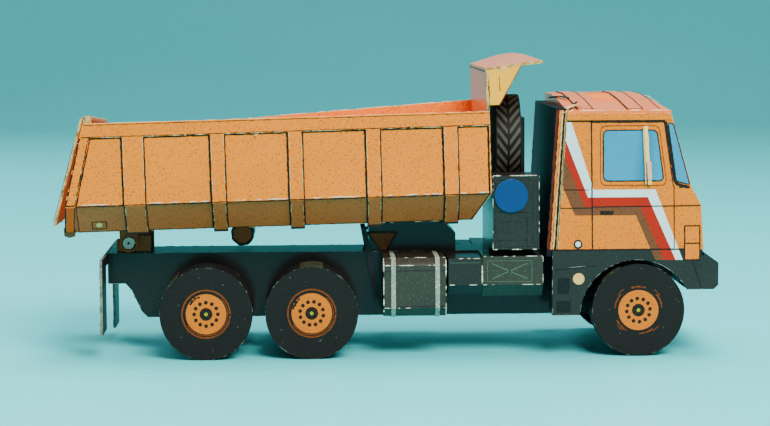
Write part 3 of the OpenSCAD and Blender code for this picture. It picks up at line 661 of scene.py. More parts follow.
tread_print = card("tread_print", srgb(98, 99, 92), speck=srgb(52, 54, 50), amount=0.5, drift=0.25, rough=0.6)
piece("spare_tread", chevrons(spare_low[0], spare_high[0], spare_middle[2], spare_r, 26), tread_print,
      "chassis")


# ---- Cab ----
# Two printed sides, a folded front sheet and a bowed roof. Stripes, windows, doors and lamps are
# all print; the drip strip, the mirror arms and the frame of the roof hatch are glued-on strips.
ORANGE = srgb(214, 147, 60)
SPECK = srgb(120, 70, 24)
orange_side = card("orange_side", ORANGE, speck=SPECK, amount=0.7, drift=0.1, flat=(0, 1, 0),
                   rough=0.5, bump=0.4)
orange_front = card("orange_front", ORANGE, speck=SPECK, amount=0.7, drift=0.1, rough=0.5, bump=0.4)
# The roof is orange print with a pinkish painted sheen, the light that the top catches; the roof straps and
# the hatch frame strips share it.
roof_print_and_sheen = card("roof_print_and_sheen", srgb(222, 150, 116), speck=srgb(190, 110, 84), amount=0.4, drift=0.16,
                  rough=0.3, coat=0.35, bump=0.3)
back_print = card("back_print", srgb(30, 34, 38), speck=srgb(60, 34, 30), amount=0.3, drift=0.4,
                  rough=0.62, bump=0.2, shine=0.1)
dress(orange_side, "cab_side_right", "cab_side_left")
dress(orange_front, "cab_front")
dress(roof_print_and_sheen, "cab_roof", "roof_straps")
dress(back_print, "cab_back")
dress(black_print, "cab_floor")
white_print = card("white_print", srgb(222, 232, 232), speck=srgb(170, 190, 196), amount=0.3, drift=0.06,
                   rough=0.45)
brown_halftone = card("brown_halftone", srgb(116, 84, 68), speck=srgb(52, 46, 48), amount=0.85, drift=0.1,
                      rough=0.5)
cab_low, cab_high = corners("cab_side_right")
half_width = abs(cab_low[1])
cab_rise = cab_high[2] - cab_low[2]
back_in, screen_top, screen_foot = 1.05, 12.7, 7.1


def glass_print_and_shade():
    """Printed window: blue ink with fine pale streaks, and a darker band of painted shade, the
    mirror's shadow, that runs up the pane just behind the mirror."""
    material, tree, output = new_material("glass_print_and_shade")
    place = add_node(tree, "ShaderNodeTexCoord").outputs["Object"]
    printed = print_on(tree, srgb(74, 146, 168), srgb(52, 114, 140), 0.5, 0.14)
    axes = add_node(tree, "ShaderNodeSeparateXYZ", inputs={0: place}).outputs
    # Painted shade: a darker band up the pane behind the mirror, where the mirror's shadow falls.
    lean = maths(tree, "MULTIPLY_ADD", axes["Z"], -0.12, axes["X"])
    width = maths(tree, "ABSOLUTE", maths(tree, "SUBTRACT", lean, (cab_low[0] + 7.1) * MM))
    shade = remap(tree, width, 0.0, 1.3 * MM, 0.62, 0.0)
    surface = add_node(tree, "ShaderNodeBsdfPrincipled", inputs={
        "Base Color": mix(tree, shade, printed["Color"], srgb(34, 104, 132)), "Roughness": 0.4,
        "Normal": relief(tree, printed["Height"], 0.3)})
    tree.links.new(surface.outputs[0], output.inputs["Surface"])
    return material


def rounded(points, radius, count=6):
    """An outline with its corners rounded: each corner is a quadratic curve between the two
    points radius away from it along its sides."""
    points = np.array(points, float)
    curve = np.linspace(0, 1, count)[:, None]
    out = []
    for before, corner, after in zip(np.roll(points, 1, 0), points, np.roll(points, -1, 0)):
        start = corner + (before - corner) / np.linalg.norm(before - corner) * radius
        end = corner + (after - corner) / np.linalg.norm(after - corner) * radius
        out.append((1 - curve) ** 2 * start + 2 * curve * (1 - curve) * corner + curve ** 2 * end)
    return np.concatenate(out)


def rear_edge(height):
    """Distance of the cab's leaning rear edge ahead of its foot."""
    return back_in * height / cab_rise


window_print = glass_print_and_shade()
hem = -1.15
band_high = [(3.38, 5.95), (10.1, 5.95), (13.26, hem)]
band_middle = [(3.04, 4.88), (9.25, 4.85), (11.96, hem)]
band_low = [(1.94, 3.95), (8.77, 3.92), (10.98, hem)]
white_outline = [(rear_edge(14.4) + 0.05, 14.4), (1.5, 14.4), (4.0, 6.8), (10.95, 6.8), (14.06, hem),
                 *band_high[::-1], (rear_edge(12.4), 12.4)]
red_outline = [(rear_edge(12.4), 12.4), *band_high, *band_middle[::-1], (rear_edge(10.5), 10.5)]
brown_outline = [(rear_edge(10.5), 10.5), *band_middle, *band_low[::-1], (rear_edge(7.3), 7.3)]
window_outline = rounded([(5.1, 7.78), (11.9, 7.75), (11.1, 13.45), (5.1, 13.45)], 0.6)
sash_outline = rounded([(4.78, 7.3), (12.25, 7.25), (11.35, 13.95), (4.78, 13.95)], 0.7)
corner_glass = rounded([(13.3, 7.7), (14.82, 7.3), (12.93, 14.15), (12.34, 14.25)], 0.25)
lamp_outline = rect(14.27, hem, 15.97, 2.67)
filler_at = (2.27, 0.7)
# Door and body lines: path, width, height above the print, seed.
door_lines = [([(3.75, 14.45), (3.9, 0.2)], 0.15, 0.04, 203), ([(13.05, 7.1), (13.1, 0.2)], 0.11, 0.04, 204),
              ([(1.0, 14.47), (3.8, 14.47)], 0.14, 0.04, 205), ([(3.7, 14.42), (12.0, 14.42)], 0.26, 0.04,
                                                                206),
              ([(0.45, 6.82), (3.45, 6.8)], 0.1, 0.04, 207), ([(0.3, 4.76), (3.8, 4.76)], 0.11, 0.04, 208),
              ([(3.9, 4.88), (16.05, 4.95)], 0.12, 0.04, 209), ([(13.6, 7.0), (14.85, 7.05)], 0.1, 0.04, 210),
              ([(12.05, 14.4), (12.6, 11.2), (13.15, 7.75), (13.45, 7.35), (14.75, 7.0)], 0.34, 0.045, 211),
              ([(11.9, 14.4), (12.9, 7.6), (13.05, 7.0)], 0.1, 0.04, 212),
              (closed(corner_glass), 0.12, 0.04, 213),
              ([(0, 0.06), (14.2, 0.06)], 0.16, 0.04, 214), (closed(lamp_outline), 0.14, 0.05, 215),
              ([(14.27, 0.7), (15.97, 0.7)], 0.13, 0.05, 216)]
# Furry edges: path, height above the print, radius, share covered, seed.
cab_edges = [([(1.05, 15.3), (12.7, 15.3)], 0.05, 0.06, 0.6, 220),
             ([(0.02, 0.2), (1.0, 14.6)], -0.02, 0.075, 0.8, 222),
             ([(12.7, 15.2), (14.95, 7.15), (16.1, 5.0), (16.38, 0)], -0.02, 0.055, 0.75, 224),
             ([(12.1, 7.8), (12.35, 12.2)], 0.02, 0.03, 0.3, 226)]
sash_ink = card("sash_ink", srgb(128, 78, 52), speck=BLACK, amount=0.5)
core_fibre = card("core_fibre", srgb(216, 190, 158), speck=srgb(130, 98, 66), amount=0.6, drift=0.3,
                  rough=0.85, bump=0.9)
arm_paper = card("arm_paper", srgb(236, 206, 168), speck=srgb(244, 230, 210), amount=0.6, drift=0.2,
                 rough=0.7)
mirror_card = card("mirror_card", srgb(226, 190, 178), speck=srgb(90, 50, 40), amount=0.4, rough=0.6)
for side, s in (("right", -1), ("left", 1)):
    place = face((cab_low[0], s * half_width, cab_low[2]), (1, 0, 0), (0, 0, 1), (0, s, 0))
    piece("white_stripe_" + side, [patch(white_outline, place)], white_print, "chassis")
    piece("red_stripe_" + side, [patch(red_outline, place)], red_print, "chassis")
    piece("brown_stripe_" + side, [patch(brown_outline, place)], brown_halftone, "chassis")
    piece("window_print_" + side, [patch(window_outline, place, 0.03), patch(corner_glass, place, 0.03)],
          window_print, "chassis")
    lines = [rule(path, width, place, lift, seed=seed) for path, width, lift, seed in door_lines]
    lines += [rule(closed(window_outline), 0.13, place, 0.04, ragged=0.3, seed=201),
              patch(rect(4.75, 4.0, 6.25, 4.42), place, 0.05),
              patch(circle(filler_at, 0.5), place, 0.04)]
    piece("cab_black_lines_" + side, lines, line_black, "chassis")
    sash = [rule(closed(sash_outline), 0.09, place, 0.035, ragged=0.5, seed=202)]
    piece("window_sash_lines_" + side, sash, sash_ink, "chassis")
    piece("filler_dot_" + side, [patch(circle(filler_at, 0.31), place, 0.05)], white_print, "chassis")
    piece("corner_panel_" + side, [patch(lamp_outline, place, 0.03, 0.33)], orange_side, "chassis")
    drip = [(1.0, 14.6), (12.68, 14.6), (12.66, 15.28), (1.05, 15.28)]
    piece("drip_strip_" + side, [patch(drip, place, 0.1, 0.1)], orange_side, "chassis")
    edge_frays = []
    for path, height, radius, cover, seed in cab_edges:
        edge_frays += torn(place, path, height, radius, cover=cover, seed=seed + s)
    piece("cab_cut_edges_" + side, edge_frays, core_fibre, "chassis")
    arm = [rule([(9.8, 13.9), (10.05, 10.0), (10.3, 7.35)], 0.42, place, 0.42, 0.3, ragged=0.2, seed=230),
           rule([(9.55, 13.8), (9.85, 7.4)], 0.1, place, 0.34, 0.32, ragged=0.3, seed=231)]
    piece("mirror_arm_" + side, arm, arm_paper, "chassis")
    mirror = [patch([(10.02, 7.95), (10.5, 7.95), (10.42, 9.9), (9.98, 9.9)], place, 0.56, 0.24)]
    piece("mirror_" + side, mirror, mirror_card, "chassis")

# Front sheet: windscreen with its wipers, grille slats and the belt line, all printed.
screen_low = np.array([cab_low[0] + 15.0, 0, cab_low[2] + screen_foot])
screen_high = np.array([cab_low[0] + screen_top, 0, cab_high[2]])
screen_up = screen_high - screen_low
screen_length = float(np.linalg.norm(screen_up))
screen_up /= screen_length
screen_out = np.array([screen_up[2], 0, -screen_up[0]])
place = face(screen_low, (0, 1, 0), screen_up, screen_out)
pane = rounded(rect(-11.3, 0.55, 11.3, screen_length - 0.8), 0.7)
piece("windscreen_print", [patch(pane, place, 0.03)], window_print, "chassis")
screen_lines = [rule(closed(pane), 0.34, place, 0.045, seed=240),
                rule([(0, 0.6), (0, screen_length - 0.8)], 0.12, place, 0.045, seed=241)]
for y in (-7.5, 3.2):
    screen_lines.append(rule([(y, 0.3), (y + 4.6, 3.4)], 0.13, place, 0.06, seed=242))
nose = face((cab_high[0], 0, cab_low[2]), (0, 1, 0), (-0.3 / 5.0, 0, 1), (1, 0, 0))
for k in range(5):
    screen_lines.append(rule([(-7.6, 0.9 + 0.66 * k), (7.6, 0.9 + 0.66 * k)], 0.2, nose, 0.03, seed=250 + k))
screen_lines.append(rule([(-12, 4.9), (12, 4.9)], 0.12, nose, 0.03, seed=256))
for y in (-8.6, 8.6):
    screen_lines.append(rule([(y, 0.2), (y, 4.8)], 0.12, nose, 0.03, seed=257))
piece("front_black_lines", screen_lines, line_black, "chassis")

# Roof: hatch frame of thin strips, and the scraps of card that stick up at the rear corner.
roof_low, roof_high = corners("cab_roof")
straps_low, straps_high = corners("roof_straps")


def roof_height(y):
    """Height of the bowed roof across the cab, as three straight facets."""
    eaves = cab_high[2]
    return np.interp(y, [-half_width, -half_width * 0.25, half_width * 0.4, half_width],
                     [eaves + 0.3, eaves + 1.15, eaves + 1.65, eaves + 1.6])


def on_roof(points, height):
    """Points (x, y) laid on the bowed roof."""
    points = np.asarray(points, float)
    return np.stack([points[:, 0], points[:, 1], roof_height(points[:, 1]) + height], 1)


hatch_x0, hatch_x1, hatch_y0, hatch_y1 = straps_low[0] + 2.9, straps_high[0] - 2.1, -2.6, 5.6
hatch = [rule([(hatch_x0, hatch_y0), (hatch_x1, hatch_y0)], 0.5, on_roof, 0.12, 0.12, ragged=0.1, seed=260),
         rule([(hatch_x0, hatch_y1), (hatch_x1, hatch_y1)], 0.5, on_roof, 0.12, 0.12, ragged=0.1, seed=261)]
piece("hatch_frame", hatch, roof_print_and_sheen, "chassis")
hatch_well = [patch(rect(hatch_x0, hatch_y0 + 0.3, hatch_x1, hatch_y1 - 0.3), on_roof, 0.03)]
bright_orange = card("bright_orange", srgb(220, 148, 92), speck=srgb(170, 100, 60), amount=0.4,
                     drift=0.16, rough=0.5)
piece("hatch_well", hatch_well, bright_orange, "chassis")
roof_lines = []
for x in (straps_low[0], straps_low[0] + 1.7, straps_high[0] - 1.7, straps_high[0]):
    roof_lines.append(rule([(x, -11.2), (x, 11.0)], 0.13, on_roof, 0.13, 0.13, ragged=0.5, seed=int(270 + x)))
for x0 in (straps_low[0], straps_high[0] - 1.7):
    roof_lines.append(rule([(x0, -11.25), (x0 + 1.7, -11.25)], 0.2, on_roof, 0.13, 0.2, ragged=0.4, seed=280))
for y in (hatch_y0 + 0.3, hatch_y1 - 0.3):
    roof_lines.append(rule([(hatch_x0, y), (hatch_x1, y)], 0.12, on_roof, 0.05, 0.06, ragged=0.6, seed=281))
roof_lines.append(rule([(roof_high[0] - 1.1, -11.2), (roof_high[0] - 1.1, 11.2)], 0.1, on_roof, 0.03,
                       seed=282))
piece("roof_dark_lines", roof_lines, line_black, "chassis")
roof_frays = torn(on_roof, [(roof_low[0] + 0.3, -12.0), (roof_high[0] - 0.3, -12.0)], 0.02, 0.07,
                  cover=0.7, seed=290)
roof_frays += fray(on_roof(walk([(roof_high[0] - 0.1, -12.2), (roof_high[0] - 0.1, 12.2)], 0.2), -0.35), 0.06,
                   cover=0.6, seed=291)
for x0 in (straps_low[0], straps_high[0] - 1.7):
    roof_frays += torn(on_roof, [(x0 + 0.3, -11.7), (x0 + 1.6, -11.7)], 0.0, 0.12, cover=0.8, seed=292)
piece("roof_cut_edges", roof_frays, frayed_fibre, "chassis")


def curl(start, end, width, lift, rise, count=14):
    """A scrap of paper bent up: its centre runs from start to end and rises as a half sine; the
    strip is width wide and a quarter of that thick."""
    share = np.linspace(0, 1, count)
    start, end = np.array(start, float), np.array(end, float)
    centre = start + (end - start) * share[:, None]
    centre[:, 2] += lift + rise * np.sin(share * math.pi)
    along = (end - start) / np.linalg.norm(end - start)
    side = np.cross(along, (0, 0, 1)) * width / 2
    thick = np.array([0, 0, width / 8])
    rows = [centre + side + thick, centre - side + thick, centre - side - thick, centre + side - thick]
    return np.stack(rows, 1).reshape(-1, 3), rows_to_faces(count, 4)


corner = np.array([roof_low[0], -half_width, cab_high[2]])
piece("roof_corner_scraps", [curl(corner + (-0.7, 0.4, 0.05), corner + (1.9, 3.0, 0.85), 0.55, 0.0, 0.35),
                             curl(corner + (-0.9, 0.7, -0.2), corner + (0.3, 0.4, 0.3), 0.4, 0.0, 0.1)],
      core_fibre, "chassis")
piece("roof_dark_scraps", [curl(corner + (0.2, 0.6, 0.3), corner + (1.6, 4.4, 1.2), 0.3, 0.0, 0.1),
                           curl(corner + (-0.4, 14.5, 1.2), corner + (1.1, 10.0, 1.35), 0.5, 0.1, 0.15)],
      black_print, "chassis")

# The back is four layers, and their cut edges show down the side. The dark red strip is painted shade: orange
# card darkened as it lies in shadow.
back_low, back_high = corners("cab_back")
layers = face((back_low[0], back_low[1], cab_low[2] - 0.7), (1, 0, 0), (0, 0, 1), (0, -1, 0))
layers_left = face((back_low[0], back_high[1], cab_low[2] - 0.7), (1, 0, 0), (0, 0, 1), (0, 1, 0))
foot_z, head_z = 0.8, cab_rise + 1.1
# Painted shade: the dark red strip is the orange edge of the back in shadow.
for name, at, width, paint in (("red", 0.16, 0.3, card("back_shaded_orange", srgb(88, 48, 40), speck=BLACK,
                                                       amount=0.7, drift=0.5)),
                               ("orange", 0.5, 0.22, bright_orange), ("cream", 0.74, 0.16, core_fibre),
                               ("dark", 0.94, 0.2, line_black), ("cream2", 1.14, 0.18, core_fibre)):
    stack = [rule([(at, foot_z), (at + back_in, head_z)], width, where, 0.03, ragged=0.5,
                  seed=300 + int(at * 50))
             for where in (layers, layers_left)]
    piece("back_layer_" + name, stack, paint, "chassis")


# ---- Fenders, steps and bumper ----
# Dark printed card under the doors, with the wheel arch cut out and step treads printed on; the
# bumper is a folded box with its corners cut off and a pale lamp at each end.
dress(dark_green_print, "fender_right", "fender_left", "bumper")
dress(black_print, "step_right", "step_left")
fender_low = corners("fender_right")[0]
bumper_low, bumper_high = corners("bumper")
arch_frays, fender_pale, fender_lines, fender_dark = [], [], [], []
axle_low, axle_high = corners("axle_front")
arch_x, arch_r = (axle_low[0] + axle_high[0]) / 2 - 0.2, 6.4
arch_z = cab_low[2] - 1.1 - arch_r
for s in (-1, 1):
    place = side_face(s, s * half_width)
    turn = np.linspace(math.radians(33), math.radians(192), 60)
    arch = np.stack([arch_x + arch_r * np.cos(turn), arch_z + arch_r * np.sin(turn)], 1)
    arch = arch[(arch[:, 1] > fender_low[2]) & (arch[:, 0] < bumper_high[0])]
    arch_frays += fray(place(arch, -0.02), 0.045, cover=0.75, seed=310 + s)
    x0, foot = fender_low[0], fender_low[2]
    for path, height, radius, cover, seed in (
            ([(x0, foot), (x0, cab_low[2] - 0.6)], 0, 0.06, 0.5, 312),
            ([(x0, foot), (arch_x - arch_r + 0.15, foot)], 0, 0.06, 0.7, 314),
            ([(x0 + 0.2, foot + 5.25), (x0 + 4.8, foot + 5.6)], 0.02, 0.04, 0.5, 316),
            ([(bumper_high[0] - 3.45, bumper_low[2]), (bumper_high[0] - 1.6, bumper_low[2])], 0, 0.06,
             0.6, 318)):
        arch_frays += torn(place, path, height, radius, cover=cover, seed=seed + s)
    fender_pale.append(patch(circle((x0 + 2.95, foot + 4.1), 0.64), place, 0.03))
    for tread in ([(0.55, 2.4), (1.9, 2.4), (2.0, 4.2), (0.6, 4.2)],
                  [(0.4, 0.3), (2.0, 0.3), (2.1, 1.6), (0.45, 1.6)]):
        fender_dark.append(patch([(x0 + x, foot + z) for x, z in tread], place))
    fender_lines += [rule([(x0 + 0.1, foot + 5.1), (x0 + 2.4, foot + 5.3), (x0 + 5.0, foot + 5.55)], 0.08,
                          place,
                          ragged=0.6, seed=320 + s),
                     rule([(bumper_high[0] - 3.25, bumper_high[2] - 0.2),
                           (bumper_high[0] - 1.85, bumper_low[2] + 0.1)], 0.12, place, ragged=0.5,
                           seed=322 + s)]
front = face((bumper_high[0], 0, 0), (0, 1, 0), (0, 0, 1), (1, 0, 0))
for s in (-1, 1):
    y, z = s * 7.4, (bumper_low[2] + bumper_high[2]) / 2 - 0.3
    fender_pale.append(patch(rect(y - 1.1, z - 0.6, y + 1.1, z + 0.6), front, 0.03))
    fender_lines.append(rule(closed(rect(y - 1.2, z - 0.7, y + 1.2, z + 0.7)), 0.1, front, 0.04, seed=326))
piece("fender_cut_edges", arch_frays, grey_fibre, "chassis")
beige_print = card("beige_print", srgb(226, 196, 158), speck=srgb(200, 130, 90), amount=0.4, rough=0.5)
piece("marker_lamps", fender_pale, beige_print, "chassis")
piece("fender_lines", fender_lines, line_black, "chassis")
piece("step_treads", fender_dark, card("tread_ink", srgb(24, 28, 30), speck=srgb(60, 64, 64), amount=0.5,
      drift=0.3), "chassis")


# ---- Wheels ----
# Card drums: a black disc on each face with the hub, bolts and cap printed on it, and a separate
# tread strip wrapped round, whose end laps over its start.
for axle in ("front", "middle", "rear"):
    dress(tyre_print, "wheel_" + axle + "_right", "wheel_" + axle + "_left", "axle_" + axle)
hub_print = card("hub_print", srgb(196, 134, 66), speck=srgb(150, 84, 34), amount=0.45, drift=0.12, rough=0.5)
cap_print = card("cap_print", srgb(160, 164, 84), speck=srgb(110, 120, 60), amount=0.3, rough=0.5)
ring_brown = card("ring_brown", srgb(124, 80, 56), speck=srgb(50, 38, 30), amount=0.7, drift=0.3, rough=0.55)
strip_olive = card("strip_olive", srgb(62, 62, 50), speck=srgb(112, 108, 90), amount=0.6, drift=0.3,
                   rough=0.65, bump=0.7)
hub_r, bolt_ring, bolt_r, centre_r, cap_r = 2.26, 1.32, 0.215, 0.72, 0.21


def tread_lap(centre, radius, half_width_y, middle_y, start, sweep, lift):
    """The lapped end of the tread strip: a grid round the tyre and through its thickness, which
    grows from nothing to lift and stops in a cut edge."""
    turn = np.linspace(start, start + sweep, 24)
    grow = radius + 0.01 + lift * np.linspace(0.0, 1.0, 24) ** 0.7
    rows = []
    for r, y in ((grow, middle_y - half_width_y), (grow, middle_y + half_width_y),
                 (np.full(24, radius - 0.05), middle_y + half_width_y),
                 (np.full(24, radius - 0.05), middle_y - half_width_y)):
        rows.append(np.stack([centre[0] + r * np.sin(turn), np.full(24, y), centre[1] + r * np.cos(turn)], 1))
    return np.stack(rows, 1).reshape(-1, 3), rows_to_faces(24, 4)


for axle, body, twist, lap in (("front", "front_wheels", 0.1, -0.9), ("middle", "middle_wheels", 0.32, -0.25),
                               ("rear", "rear_wheels", 0.0, -1.15)):
    for side, s in (("right", -1), ("left", 1)):
        name = axle + "_" + side
        low, high = corners("wheel_" + name)
        middle = (low + high) / 2
        radius = (high[2] - low[2]) / 2
        out_y = low[1] if s < 0 else high[1]
        place = face((middle[0], out_y, middle[2]), (1, 0, 0), (0, 0, 1), (0, s, 0))
        piece("hub_" + name, [patch(circle((0, 0), hub_r, 64), place, 0.03)], hub_print, body)
        seed = 400 + 10 * len(axle) + s
        if axle == "front":
            arcs = [(circle((0, 0), 2.66, 14, twist + k * 1.16, 0.62), 0.15, k) for k in range(5)]
            arcs += [(circle((0, 0), 2.9, 8, twist + 0.5 + k * 1.57, 0.3), 0.08, 20 + k) for k in range(4)]
            dashes = [rule(arc, width, place, 0.03, ragged=0.7, seed=seed + draw) for arc, width,
                      draw in arcs]
            piece("rim_dashes_" + name, dashes, ring_brown, body)
        else:
            rings = [rule(circle((0, 0), 2.68, 90, 0, 6.29), 0.17, place, 0.03, ragged=0.22, seed=seed),
                     rule(circle((0, 0), 2.42, 40, -2.6, 3.4), 0.09, place, 0.03, ragged=0.8, seed=seed + 1)]
            piece("rim_ring_" + name, rings, ring_brown, body)
        black = [patch(circle((0, 0), centre_r, 40), place, 0.05)]
        black += [patch(circle((bolt_ring * math.cos(a), bolt_ring * math.sin(a)), bolt_r, 14), place, 0.05)
                  for a in twist + np.arange(12) * math.pi / 6]
        if axle != "front":
            black.append(rule(circle((0, 0), 2.1, 16, 1.9 + twist, 0.7), 0.2, place, 0.05, ragged=0.9,
                              seed=seed + 2))
        piece("bolts_" + name, black, line_black, body)
        piece("cap_" + name, [patch(circle((0, 0), cap_r, 20), place, 0.07)], cap_print, body)
        rim = place(circle((0, 0), radius - 0.03, 180, 0, 6.3), -0.03)
        rim_frays = fray(rim, 0.05, cover=0.62, seed=seed + 3, sides=4)
        inner_y = high[1] if s < 0 else low[1]
        rim_frays += fray(face((middle[0], inner_y, middle[2]), (1, 0, 0), (0, 0, 1), (0, -s, 0))(
            circle((0, 0), radius - 0.03, 180, 0, 6.3), -0.03), 0.035, cover=0.35, seed=seed + 4, sides=4)
        rng = np.random.default_rng(seed)
        for spot in range(9):
            at, r = rng.uniform(0, 2 * math.pi), rng.uniform(3.1, 4.9)
            x, z = r * math.cos(at), r * math.sin(at)
            nick = [(x, z), (x + 0.3, z + rng.uniform(-0.2, 0.2))]
            rim_frays += torn(place, nick, 0.0, 0.022, cover=1.0, seed=seed + spot, sides=4, step=0.06)
        piece("tyre_edge_" + name, rim_frays, grey_fibre, body)
        half = (high[1] - low[1]) / 2
        piece("tread_lap_" + name, [tread_lap((middle[0], middle[2]), radius, half, middle[1], lap, 0.5,
                                              0.09)],
              strip_olive, body)


# ---- Bed ----
# A tub of orange printed card: leaning ends, upright walls over slanted panels coloured brown as
# painted shade because they face down, and strips glued on for the rail, the ribs and the rear
# post. Every strip is cut along a black line, so its edges show black, then pale card.
bed_turn = math.radians(1.4)
pin_place = np.array(next(joint["pos_m"] for joint in frame["joints"] if joint["name"] == "bed_tip")) / MM
bed_u = np.array([math.cos(bed_turn), 0, math.sin(bed_turn)])
bed_w = np.array([-math.sin(bed_turn), 0, math.cos(bed_turn)])
floor_w, knee, rail_top = 1.85, 5.0, 14.15
chamfer_w, chamfer_h = 3.1, 3.15
rear_sag, front_lift, gate_sag = 2.0, 0.4, 1.5
bed_front, bed_tail, rib_t = 41.1, 6.8, 0.2
rib_edges = [(0.2, 2.6)] + [(10.75 + 8.65 * k - 0.8, 10.75 + 8.65 * k + 0.8) for k in range(4)]
BED_ORANGE = srgb(224, 154, 62)
INSIDE_ORANGE = srgb(248, 160, 50)
# SHADE_BROWN is painted shade: the orange card darkened where it faces down, on the slanted panels and the
# undersides of the ribs.
SHADE_BROWN = srgb(194, 122, 100)


def in_bed(u, y, w):
    """A place in the bed: u along its floor from the pin, w square to it."""
    return pin_place + u * bed_u + np.array([0, y, 0]) + w * bed_w


def rear_edge_u(w, drop):
    """Where the leaning rear edge of a side stands, knee and all; drop is how far it has sunk."""
    return -bed_tail + 0.45 + (w + drop - knee) * 2.25 / 9.15 if w > knee else \
        -bed_tail + 0.45 * (w - floor_w) / (knee - floor_w)


wall_print = {s: card("bed_wall_print_" + side, BED_ORANGE, speck=SPECK, amount=0.7, drift=0.1,
                      flat=(0, 1, 0),
                      inside=((0, -s, 0), INSIDE_ORANGE), rough=0.5, bump=0.45)
              for side, s in (("right", -1), ("left", 1))}
# Slanted panels and floor: brown painted shade on faces turned down or aside, and a lighter orange on faces
# turned up. The ribs take the same brown painted shade where they face down.
chamfer_print_and_shade = card("chamfer_print_and_shade", SHADE_BROWN, speck=srgb(60, 36, 16), amount=0.55, drift=0.16,
                     inside=((0, 0, 1), srgb(190, 112, 48)), rough=0.5, bump=0.45)
strip_print_and_shade = card("strip_print_and_shade", srgb(222, 152, 64), speck=SPECK, amount=0.65, drift=0.1,
                   inside=((0, 0, -1), SHADE_BROWN), rough=0.5, bump=0.45)
rail_print = card("rail_print", srgb(222, 152, 66), speck=SPECK, amount=0.65, drift=0.12, flat=(0, 1, 0),
                  core=srgb(208, 182, 146), rough=0.5, bump=0.5)
end_print = card("end_print", ORANGE, speck=SPECK, amount=0.45, drift=0.12, flat=(1, 0, 0),
                 core=srgb(216, 192, 160), inside=((-1, 0, 0), srgb(230, 150, 66)), rough=0.5, bump=0.45)
post_print = card("post_print", srgb(255, 130, 84), speck=SPECK, amount=0.5, drift=0.1)
dress(wall_print[-1], "bed_wall_right")
dress(wall_print[1], "bed_wall_left")
dress(chamfer_print_and_shade, "bed_chamfer_right", "bed_chamfer_left", "bed_floor", "bed_front_skirt")
dress(strip_print_and_shade, "bed_ribs_right", "bed_ribs_left")
dress(rail_print, "bed_rails")
gate_print = card("gate_print", srgb(154, 122, 98), speck=SPECK, amount=0.5, drift=0.14, flat=(1, 0, 0),
                  core=srgb(200, 176, 146), inside=((-1, 0, 0), BED_ORANGE), rough=0.5, bump=0.45)
dress(end_print, "bed_headboard", "gate_hanger")
dress(gate_print, "tailgate")

